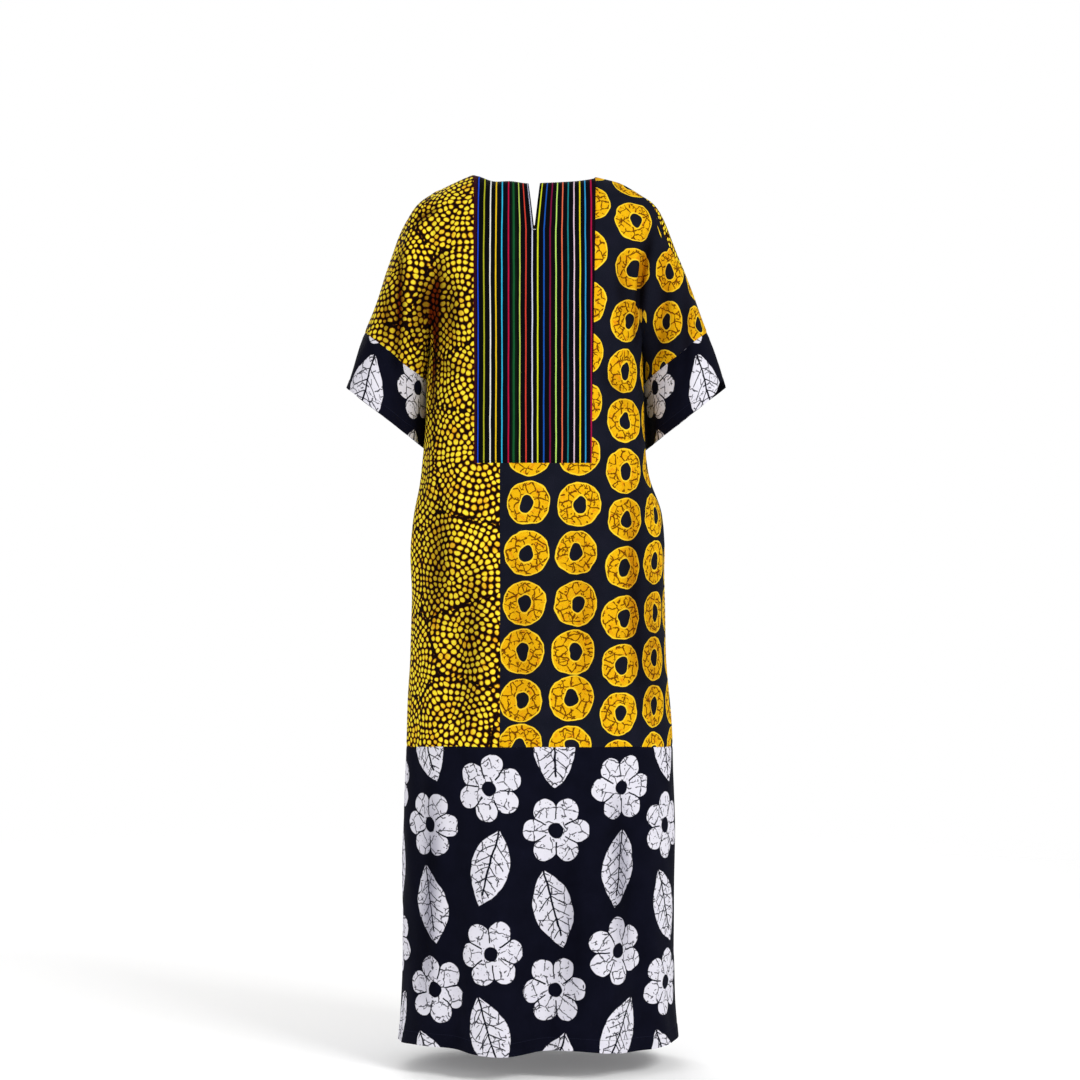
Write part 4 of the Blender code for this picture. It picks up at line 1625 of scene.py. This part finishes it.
@dataclass(frozen=True)
class DotCloth(Cloth):
    """Near-black cloth with yellow dots set in rings round scattered centres."""

    # Dark red-brown painted shade in the dotted cloth's creases.
    fold_tint: Colour = rgb(96, 38, 20)
    cluster: float = 0.148
    scatter: float = 0.55
    dot_pitch: float = 0.0104
    dot_radius: float = 0.0041
    least_dot: float = 0.80
    dot_range: float = 0.24
    border_dot: float = 0.55
    border: Pair = (0.0005, 0.0055)
    dot_nudge: Pair = (0.0020, 0.0015)
    warps: tuple[Pair, ...] = ((0.050, 0.012), (0.0075, 0.0022))
    own_ring: float = 91.0
    own_dot: float = 57.0
    dot_soft: float = 0.00045
    halo: float = 0.0008
    halo_soft: float = 0.0007
    rim: float = 0.0007
    rim_soft: float = 0.0006
    dark: tuple[Colour, Colour] = (rgb(12, 6, 5), rgb(28, 12, 6))
    halo_colour: Colour = rgb(120, 58, 4)
    halo_share: float = 0.9
    yellow: tuple[Colour, Colour] = (rgb(255, 232, 48), rgb(252, 242, 68))
    yellow_range: float = 0.6
    orange: Patches = Patches(0.030, 3.0, 0.50, 0.78, (4.0, 9.0, 0.0))
    orange_colour: Colour = rgb(236, 160, 18)
    orange_share: float = 0.75
    rim_colour: Colour = rgb(206, 128, 14)
    rim_share: float = 0.55
    seeds: Pair = (0.5, 0.21)

    def print(self, graph: ClothGraph) -> Value:
        """Colour of the dotted cloth."""
        place = graph.place
        for size, amount in self.warps:
            place = graph.warp(place, size, amount)
        scaled = graph.vector("SCALE", place, 1.0 / self.cluster)
        centres = graph.cells(scaled, self.scatter, "F1")
        borders = graph.cells(scaled, self.scatter, "DISTANCE_TO_EDGE")
        border = Value(graph, borders.outputs["Distance"]) * self.cluster
        local = graph.vector("SUBTRACT", scaled, Value(graph, centres.outputs["Position"]))
        x, y, _ = graph.split(graph.vector("SCALE", local, self.cluster))
        own = graph.split(Value(graph, centres.outputs["Color"]))[0]
        radius = graph.length(x, y)
        ring = graph.math("FLOOR", radius / self.dot_pitch)
        middle = (ring + 0.5) * self.dot_pitch
        number = graph.math("ROUND", (ring + 0.5) * TURN)
        around = graph.math("ARCTAN2", y, x) / TURN * number
        around = around + graph.chance(ring, own * self.own_ring, self.seeds[0], "Value")
        dot = graph.math("FLOORED_MODULO", graph.math("FLOOR", around), number)
        across = (graph.math("FRACT", around) - 0.5) * (middle / number * TURN)
        red, green, blue = graph.split(graph.chance(ring + own * self.own_dot, dot, self.seeds[1]))
        across = graph.nudge(across, red, self.dot_nudge[0])
        out = graph.nudge(radius - middle, green, self.dot_nudge[1])
        size = (blue * self.dot_range + self.least_dot) * self.dot_radius
        size = size * (graph.step(border, *self.border) * (1.0 - self.border_dot) + self.border_dot)
        distance = graph.length(across, out)
        halo = graph.below(distance, size + self.halo, self.halo_soft)
        dark = graph.mix(halo * self.halo_share, graph.mottled(self.dark), self.halo_colour)
        yellow = graph.mix(red * self.yellow_range, *self.yellow)
        yellow = graph.mix(graph.patches(self.orange) * self.orange_share, yellow, self.orange_colour)
        rim = 1.0 - graph.below(distance, size - self.rim, self.rim_soft)
        yellow = graph.mix(rim * self.rim_share, yellow, self.rim_colour)
        return graph.mix(graph.below(distance, size, self.dot_soft), dark, yellow)


class Stripe(NamedTuple):
    """One thin stripe: its colour, its width in metres and the tint of the ground after it."""

    colour: tuple[int, int, int]
    width: float
    ground: tuple[int, int, int]


STRIPES = (
    Stripe((30, 74, 214), 0.0026, (8, 10, 12)),
    Stripe((178, 180, 40), 0.0028, (10, 12, 10)),
    Stripe((240, 240, 236), 0.0027, (8, 12, 14)),
    Stripe((236, 196, 34), 0.0028, (8, 14, 20)),
    Stripe((52, 186, 226), 0.0026, (12, 10, 26)),
    Stripe((182, 20, 62), 0.0030, (12, 12, 26)),
    Stripe((22, 84, 44), 0.0046, (16, 44, 18)),
    Stripe((190, 214, 96), 0.0025, (14, 10, 14)),
    Stripe((214, 66, 50), 0.0028, (10, 10, 18)),
    Stripe((214, 218, 240), 0.0026, (8, 8, 10)),
    Stripe((214, 222, 40), 0.0029, (6, 14, 16)),
    Stripe((24, 84, 176), 0.0030, (16, 8, 22)),
    Stripe((122, 16, 62), 0.0032, (8, 16, 10)),
    Stripe((186, 226, 104), 0.0027, (10, 12, 10)),
    Stripe((234, 112, 78), 0.0026, (14, 8, 12)),
    Stripe((28, 128, 136), 0.0029, (6, 12, 20)),
    Stripe((226, 200, 216), 0.0026, (10, 10, 12)),
    Stripe((232, 214, 30), 0.0028, (6, 14, 18)),
    Stripe((48, 152, 206), 0.0027, (12, 8, 30)),
    Stripe((168, 18, 66), 0.0032, (30, 8, 22)),
)


@dataclass(frozen=True)
class StripedCloth(Cloth):
    """Near-black cloth with thin upright stripes in many colours."""

    first: float = -0.0936
    pitch: float = 0.00969
    thin: float = 0.74
    edge_strip: float = 0.0030
    edge_colour: Colour = rgb(56, 10, 28)
    black: Colour = rgb(6, 6, 9)
    waver_stretch: Shift = (0.4, 0.15, 0.0)
    waver_size: float = 0.010
    waver: float = 0.0012
    stripe_nudge: float = 0.0014
    seeds: Pair = (3.0, 0.4)
    ground_share: float = 0.6
    line_soft: float = 0.00035
    fray_stretch: Shift = (1.0, 0.12, 1.0)
    fray_size: float = 0.0022
    fray: Pair = (0.72, 0.45)

    def ramp(self, graph: ClothGraph, share: Value, colours: list[Colour]) -> Value:
        """A stepped ramp with one colour for each stripe."""
        node = graph.add("ShaderNodeValToRGB", {"Fac": share})
        steps = node.color_ramp
        steps.interpolation = "CONSTANT"
        while len(steps.elements) < len(colours):
            steps.elements.new(1.0)
        for k, colour in enumerate(colours):
            steps.elements[k].position = k / len(colours)
            steps.elements[k].color = colour
        return Value(graph, node.outputs["Color"])

    def print(self, graph: ClothGraph) -> Value:
        """Colour of the striped cloth."""
        u = graph.split(graph.place)[0]
        stretched = graph.vector("MULTIPLY", graph.place, self.waver_stretch)
        across = graph.nudge(u, graph.noise(stretched, self.waver_size, 1.0), self.waver)
        across = (across - self.first) / self.pitch
        number = graph.math("ROUND", across)
        chance = graph.chance(number, *self.seeds, "Value")
        off = graph.nudge((across - number) * self.pitch, chance, self.stripe_nudge)
        share = (number + 0.5) / float(len(STRIPES))
        widths = self.ramp(graph, share, [(stripe.width * WIDTH_SCALE, 0.0, 0.0, 1.0) for stripe in STRIPES])
        colour = self.ramp(graph, share, [rgb(*stripe.colour) for stripe in STRIPES])
        ground = self.ramp(graph, share, [rgb(*stripe.ground) for stripe in STRIPES])
        half = graph.split(widths)[0] * (self.thin / (2.0 * WIDTH_SCALE))
        fray = graph.noise(graph.vector("MULTIPLY", graph.place, self.fray_stretch), self.fray_size, 3.0)
        line = graph.below(graph.math("ABSOLUTE", off), half, self.line_soft)
        line = line * (fray * self.fray[1] + self.fray[0])
        strip = graph.below(u, self.first - self.edge_strip, self.soft)
        black = graph.mix(graph.mottle * self.ground_share, self.black, ground)
        black = graph.mix(strip, black, self.edge_colour)
        return graph.mix(line * (1.0 - strip), black, colour)


@dataclass(frozen=True)
class NavyCloth(Cloth):
    """Navy cloth with crackled off-white rosettes and leaves in a half-drop layout."""

    # Cool grey painted shade in the banded cloth's creases.
    fold_tint: Colour = rgb(150, 150, 162)
    column_pitch: float = 0.110
    row_pitch: float = 0.131
    start: Pair = (0.030, 0.022)
    warp_size: float = 0.030
    warp: float = 0.006
    motif_nudge: float = 0.008
    seed: float = 0.63
    petals: int = 6
    rosette: float = 0.0545
    rosette_turn: float = 1.05
    petal_dip: float = 0.60
    petal_power: float = 0.55
    core: float = 0.0120
    petal_cut: float = 0.0035
    cut_soft: float = 0.0006
    cut_start: Pair = (0.0170, 0.0185)
    leaf_length: float = 0.064
    leaf_width: float = 0.033
    leaf_lean: float = 1.1
    rib: float = 0.0016
    vein: float = 0.0011
    vein_pitch: float = 0.019
    vein_slant: float = 0.9
    vein_reach: float = 0.72
    vein_soft: float = 0.0004
    rib_end_soft: float = 0.001
    cracks: tuple[Crackle, ...] = (
        Crackle(0.023, 0.0013, 0.80),
        Crackle(0.010, 0.0011, 0.30, (6.0, 2.0, 0.0)),
    )
    crack_colour: Colour = rgb(22, 22, 34)
    crack_share: float = 0.93
    specks: Patches = Patches(0.0045, 1.0, 0.74, 0.80)
    white: tuple[Colour, Colour] = (rgb(232, 230, 238), rgb(220, 218, 230))
    navy: tuple[Colour, Colour] = (rgb(8, 9, 20), rgb(17, 18, 33))

    def print(self, graph: ClothGraph) -> Value:
        """Colour of the banded cloth."""
        u, v, _ = graph.split(graph.warp(graph.place, self.warp_size, self.warp))
        across = (u - self.start[0]) / self.column_pitch
        column = graph.math("ROUND", across)
        odd = graph.math("FLOORED_MODULO", column, 2.0)
        down = (v - self.start[1]) / self.row_pitch - odd * 0.5
        row = graph.math("ROUND", down)
        red, green, blue = graph.split(graph.chance(column, row, self.seed))
        x = graph.nudge((across - column) * self.column_pitch, red, self.motif_nudge)
        y = graph.nudge((down - row) * self.row_pitch, green, self.motif_nudge)
        kind = graph.math("FLOORED_MODULO", column + row, 2.0)
        shape = self.flower(graph, x, y, blue) * (1.0 - kind) + self.leaf(graph, x, y, red) * kind
        cracks = graph.math("MAXIMUM", graph.crackle(self.cracks), graph.patches(self.specks))
        white = graph.mix(cracks * self.crack_share, graph.mottled(self.white), self.crack_colour)
        return graph.mix(shape, graph.mottled(self.navy), white)

    def flower(self, graph: ClothGraph, x: Value, y: Value, chance: Value) -> Value:
        """Mask of a six-petalled rosette with a round centre and cut petals."""
        radius = graph.length(x, y)
        angle = graph.math("ARCTAN2", y, x) + chance * self.rosette_turn
        wave = graph.math("ABSOLUTE", graph.math("COSINE", angle * (self.petals / 2.0)))
        petal = graph.math("POWER", wave, self.petal_power) * (1.0 - self.petal_dip) + self.petal_dip
        body = graph.below(radius, petal * self.rosette, self.soft)
        core = graph.below(radius, self.core, self.soft)
        cut = graph.below(radius * wave, self.petal_cut, self.cut_soft) * graph.step(radius, *self.cut_start)
        return body * (1.0 - core) * (1.0 - cut)

    def leaf(self, graph: ClothGraph, x: Value, y: Value, chance: Value) -> Value:
        """Mask of a pointed leaf with a midrib and slanting veins."""
        lean = (chance - 0.5) * self.leaf_lean
        sine = graph.math("SINE", lean)
        cosine = graph.math("COSINE", lean)
        aside = graph.math("ABSOLUTE", x * cosine - y * sine)
        along = x * sine + y * cosine
        share = along / self.leaf_length
        wide = (1.0 - share * share) * self.leaf_width
        rib = graph.below(aside, self.rib, self.vein_soft)
        rib = rib * graph.below(along, self.leaf_length * self.vein_reach, self.rib_end_soft)
        slant = (along - aside * self.vein_slant + 1.0) / self.vein_pitch
        vein = graph.math("ABSOLUTE", graph.math("FRACT", slant) - 0.5) * self.vein_pitch
        inner = graph.below(aside, wide * self.vein_reach, self.cut_soft)
        vein = graph.below(vein, self.vein, self.vein_soft) * inner
        return graph.below(aside, wide, self.soft) * (1.0 - graph.math("MAXIMUM", rib, vein))


@dataclass(frozen=True)
class Thread:
    """A sewing thread and the stitch that it makes."""

    name: str
    colour: Colour
    pitch: float = 0.0032
    length: float = 0.0023
    radius: float = 0.00026
    twist: float = 0.0004
    darker: float = 0.6
    roughness: float = 0.8
    specular: float = 0.1

    def material(self) -> bpy.types.Material:
        """The thread's matt, twisted finish."""
        material = new_material(self.name)
        graph = Graph(material.node_tree)
        place = graph.read("ShaderNodeTexCoord", "Object")
        fibres = graph.read("ShaderNodeTexNoise", "Fac", {"Vector": place, "Scale": 1.0 / self.twist})
        darker = (*(channel * self.darker for channel in self.colour[:3]), 1.0)
        graph.feed(graph.tree.nodes["Principled BSDF"], {
            "Base Color": graph.mix(fibres, self.colour, darker),
            "Roughness": self.roughness,
            "Specular IOR Level": self.specular,
        })
        return material


@dataclass
class StitchMaker:
    """Rows of short threads along paths, made by Geometry Nodes."""

    sides: int = 6

    def __post_init__(self) -> None:
        """Build the tree once: a short round thread at each step along every path."""
        inputs = {"Geometry": "Geometry", "Pitch": "Float", "Length": "Float", "Radius": "Float"}
        inputs["Thread"] = "Material"
        graph, given = new_tree("Stitch rows", "GeometryNodeTree", inputs, {"Geometry": "Geometry"})
        path = graph.read("GeometryNodeMeshToCurve", "Curve", {"Mesh": given["Geometry"]})
        steps = {"Curve": path, "Length": given["Pitch"]}
        places = graph.add("GeometryNodeCurveToPoints", steps, mode="LENGTH")
        along = {"Vector": Value(graph, places.outputs["Tangent"])}
        turned = graph.read("FunctionNodeAlignRotationToVector", "Rotation", along, axis="Z")
        size = {"Vertices": self.sides, "Radius": given["Radius"], "Depth": given["Length"]}
        stitch = graph.read("GeometryNodeMeshCylinder", "Mesh", size)
        points = Value(graph, places.outputs["Points"])
        rows = {"Points": points, "Instance": stitch, "Rotation": turned}
        placed = graph.read("GeometryNodeInstanceOnPoints", "Instances", rows)
        real = graph.read("GeometryNodeRealizeInstances", "Geometry", {"Geometry": placed})
        dress = {"Geometry": real, "Material": given["Thread"]}
        dressed = graph.read("GeometryNodeSetMaterial", "Geometry", dress)
        graph.add("NodeGroupOutput", {"Geometry": dressed})
        self.tree = graph.tree

    def sew(self, name: str, paths: list[Array], thread: Thread) -> bpy.types.Object:
        """Sew rows of stitches along paths.

        Args:
            name: Name of the piece.
            paths: The points of each row, in order.
            thread: The thread.

        Returns:
            The stitches as one plain mesh.
        """
        edges = []
        count = 0
        for path in paths:
            edges += [(count + k, count + k + 1) for k in range(len(path) - 1)]
            count += len(path)
        lines = bpy.data.meshes.new(f"{name}_path")
        lines.from_pydata(np.concatenate(paths).tolist(), edges, [])
        guide = new_object(f"{name}_guide", lines)
        nodes = guide.modifiers.new("Stitches", "NODES")
        nodes.node_group = self.tree
        values = {"Pitch": thread.pitch, "Length": thread.length, "Radius": thread.radius}
        values["Thread"] = thread.material()
        for item in self.tree.interface.items_tree:
            if item.in_out == "INPUT" and item.name in values:
                nodes[item.identifier] = values[item.name]
        evaluated = guide.evaluated_get(bpy.context.evaluated_depsgraph_get())
        mesh = bpy.data.meshes.new_from_object(evaluated)
        guide.modifiers.remove(nodes)
        bpy.data.objects.remove(guide)
        mesh.name = name
        piece = new_object(name, mesh)
        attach(piece, BODY)
        LOG.info("%s: %d faces", name, len(mesh.polygons))
        return piece


@dataclass
class Sewing:
    """Every row of stitches on the dress."""

    surface: ClothSurface
    lift: float = 0.00012
    inset: int = 1
    tack_width: float = 0.0042
    tack_lift: float = 0.0003
    tack_thread: Shift = (0.0006, 0.0009, 0.00050)

    def build(self) -> None:
        """Sew the hem, the cuffs, the neck, the panel and the slit."""
        maker = StitchMaker()
        navy = Thread("navy_thread", rgb(34, 36, 58))
        black = Thread("black_thread", rgb(28, 26, 30))
        white = Thread("white_thread", rgb(240, 238, 230), *self.tack_thread)
        maker.sew("hem_stitches", self.hem_paths(), navy)
        for side in SIDES:
            maker.sew(f"cuff_stitches_{side}", self.cuff_paths(side), navy)
        maker.sew("neck_stitches", self.neck_paths(), black)
        maker.sew("panel_stitches", self.panel_paths(), black)
        maker.sew("slit_tack", self.tack_paths(), white)

    def spans(self, face: Face) -> Array:
        """First grid column of each span, and one past the last."""
        grid = self.surface.grids[face.value]
        return np.concatenate([[0], grid.joints() + 1, [grid.pieces.shape[1] + 1]])

    def row_near(self, row: float) -> int:
        """Number of the grid row nearest a row value."""
        return int(np.argmin(np.abs(self.surface.rows - row)))

    def paths(self, *lines: Array) -> list[Array]:
        """Points just above some lines of grid ids."""
        return [self.surface.path(ids, self.lift) for ids in lines]

    def hem_paths(self) -> list[Array]:
        """Rows above the hem's edge, on both faces."""
        row = self.surface.hem_row()
        return self.paths(*(self.surface.grids[face.value].ids[row] for face in Face))

    def cuff_paths(self, side: str) -> list[Array]:
        """Rows beside a cuff's edge."""
        grids = [self.surface.grids[f"{face.value}_{side}"].ids for face in Face]
        return self.paths(*(ids[self.surface.cuff_line(len(ids))] for ids in grids))

    def neck_paths(self) -> list[Array]:
        """Rows round the neck and down both sides of the slit."""
        surface = self.surface
        row = max(1, int(round(surface.neck_turn / surface.step)))
        _, neck, _, slit, shoulder, _ = self.spans(Face.BACK)
        front = self.spans(Face.FRONT)
        ids = surface.grids[Face.BACK.value].ids
        foot = self.row_near(surface.form.yoke_rows)
        left = slit - 1 - self.inset
        right = slit + self.inset
        return self.paths(
            ids[row, neck : left + 1],
            ids[row : foot + 1, left],
            ids[row, right:shoulder],
            ids[row : foot + 1, right],
            surface.grids[Face.FRONT.value].ids[row, front[1] : front[3]],
        )

    def panel_paths(self) -> list[Array]:
        """Rows just inside the striped panel's sides and foot."""
        spans = self.spans(Face.BACK)
        ids = self.surface.grids[Face.BACK.value].ids
        foot = self.row_near(self.surface.form.stripe_rows) - self.inset
        left = spans[1] + self.inset
        right = spans[4] - 1 - self.inset
        return self.paths(ids[: foot + 1, left], ids[: foot + 1, right], ids[foot, left : right + 1])

    def tack_paths(self) -> list[Array]:
        """The short bar across the slit's foot."""
        surface = self.surface
        foot = self.row_near(surface.form.yoke_rows)
        point = surface.same[surface.grids[Face.BACK.value].ids[foot, self.spans(Face.BACK)[3]]]
        middle = surface.points[point] + surface.normals[point] * self.tack_lift
        half = np.array([self.tack_width / 2.0, 0.0, 0.0])
        return [np.stack([middle - half, middle + half])]


class Lamp(NamedTuple):
    """A soft square light: its name, its place, its size and its power."""

    name: str
    place: Shift
    size: float
    power: float


@dataclass
class Studio:
    """Floor, lights and camera."""

    floor_height: float = -1.475
    floor_size: float = 9.0
    floor_fade: float = 2.9
    floor_soft: float = 0.9
    floor_glow: float = 0.13
    floor_colour: Colour = (0.95, 0.95, 0.95, 1.0)
    floor_roughness: float = 0.9
    world_light: float = 0.50
    aim: Shift = (0.0, 0.0, -0.65)
    camera_x: float = 0.0067
    camera_z: float = -0.605
    camera_distance: float = 4.6
    view_width: float = 1.8004
    sensor: float = 36.0
    lamps: tuple[Lamp, ...] = (
        Lamp("key_light", (2.8, -3.2, 2.0), 1.8, 140.0),
        Lamp("fill_light", (-3.0, -3.2, 0.4), 2.6, 46.0),
        Lamp("back_light", (-1.2, 3.8, 1.8), 2.6, 90.0),
    )

    def build(self) -> None:
        """Stage the floor, the world, the lights and the camera."""
        self.build_floor()
        self.build_world()
        for lamp in self.lamps:
            self.add_light(lamp)
        self.add_camera()

    def build_floor(self) -> None:
        """A plain pale floor."""
        half = self.floor_size / 2.0
        mesh = bpy.data.meshes.new("floor")
        sides = ((-half, -half), (half, -half), (half, half), (-half, half))
        mesh.from_pydata([(x, y, self.floor_height) for x, y in sides], [], [(0, 1, 2, 3)])
        material = new_material("pale_floor")
        graph = Graph(material.node_tree)
        x, y, _ = graph.split(graph.read("ShaderNodeTexCoord", "Object"))
        graph.feed(graph.tree.nodes["Principled BSDF"], {
            "Alpha": graph.below(graph.length(x, y), self.floor_fade, self.floor_soft),
            "Base Color": self.floor_colour,
            "Emission Color": WHITE,
            "Emission Strength": self.floor_glow,
            "Roughness": self.floor_roughness,
            "Specular IOR Level": 0.0,
        })
        mesh.materials.append(material)
        floor = new_object("floor", mesh)

    def build_world(self) -> None:
        """Even soft light from all round, white behind the dress."""
        world = bpy.data.worlds.new("studio")
        world.use_nodes = True
        graph = Graph(world.node_tree)
        seen = graph.read("ShaderNodeLightPath", "Is Camera Ray")
        strength = seen * (1.0 - self.world_light) + self.world_light
        graph.feed(graph.tree.nodes["Background"], {"Color": WHITE, "Strength": strength})
        bpy.context.scene.world = world

    def add_light(self, lamp: Lamp) -> None:
        """A soft square light aimed at the middle of the dress."""
        light = bpy.data.lights.new(lamp.name, "AREA")
        light.size = lamp.size
        light.energy = lamp.power
        made = new_object(lamp.name, light)
        made.location = lamp.place
        made.rotation_euler = (Vector(self.aim) - made.location).to_track_quat("-Z", "Y").to_euler()

    def add_camera(self) -> None:
        """The level camera behind the dress."""
        camera = bpy.data.cameras.new("camera")
        camera.sensor_width = self.sensor
        camera.lens = self.sensor * self.camera_distance / self.view_width
        eye = new_object("camera", camera)
        eye.location = (self.camera_x, -self.camera_distance, self.camera_z)
        eye.rotation_euler = (math.pi / 2.0, 0.0, 0.0)
        bpy.context.scene.camera = eye
        bpy.context.scene.view_settings.view_transform = "Standard"


@dataclass
class MaxiDress:
    """The whole dress: its surface, its cut pieces and their cloths."""

    front_panel: tuple[Pair, float] = ((0.36, 0.99), 0.278)
    hem_band: tuple[Pair, float] = ((0.67, 0.483), 0.300)
    sleeve_band: tuple[Pair, float] = ((0.50, 0.12), 0.050)

    def build(self) -> None:
        """Cut and dress every piece."""
        groups = {"crackle": WaxCrackle().build(), "cotton": CottonWeave().build()}
        surface = ClothSurface(DressForm())
        cloths = {
            "dotted_cloth": DotCloth("dotted_cotton"),
            "ringed_cloth": RingCloth("ringed_cotton"),
            "striped_cloth": StripedCloth("striped_cotton"),
            "navy_band_cloth": NavyCloth("navy_banded_cotton"),
        }
        materials = {slot: cloth.material(groups) for slot, cloth in cloths.items()}
        cuts = (
            ClothPiece("back_dot_panel", "dotted_cloth", (0.36, 0.99), 0.213),
            ClothPiece("back_ring_panel", "ringed_cloth", (0.50, 0.99), 0.275),
            ClothPiece("back_striped_panel", "striped_cloth", (0.19, 0.54), 0.097),
            ClothPiece("front_ring_panel", "ringed_cloth", *self.front_panel),
            ClothPiece("front_dot_panel", "dotted_cloth", *self.front_panel),
            ClothPiece("hem_band_back", "navy_band_cloth", *self.hem_band),
            ClothPiece("hem_band_front", "navy_band_cloth", *self.hem_band),
            ClothPiece("sleeve_band_left", "navy_band_cloth", *self.sleeve_band),
            ClothPiece("sleeve_band_right", "navy_band_cloth", *self.sleeve_band),
        )
        for cut in cuts:
            cut.build(surface, materials[cut.slot])
        Sewing(surface).build()


def write_sizes() -> None:
    """Bring the scene's matrices up to date."""
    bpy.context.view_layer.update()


def main() -> None:
    """Build the dress and its studio."""
    logging.basicConfig(level=logging.INFO)
    MaxiDress().build()
    Studio().build()
    write_sizes()


if __name__ == "__main__":
    main()
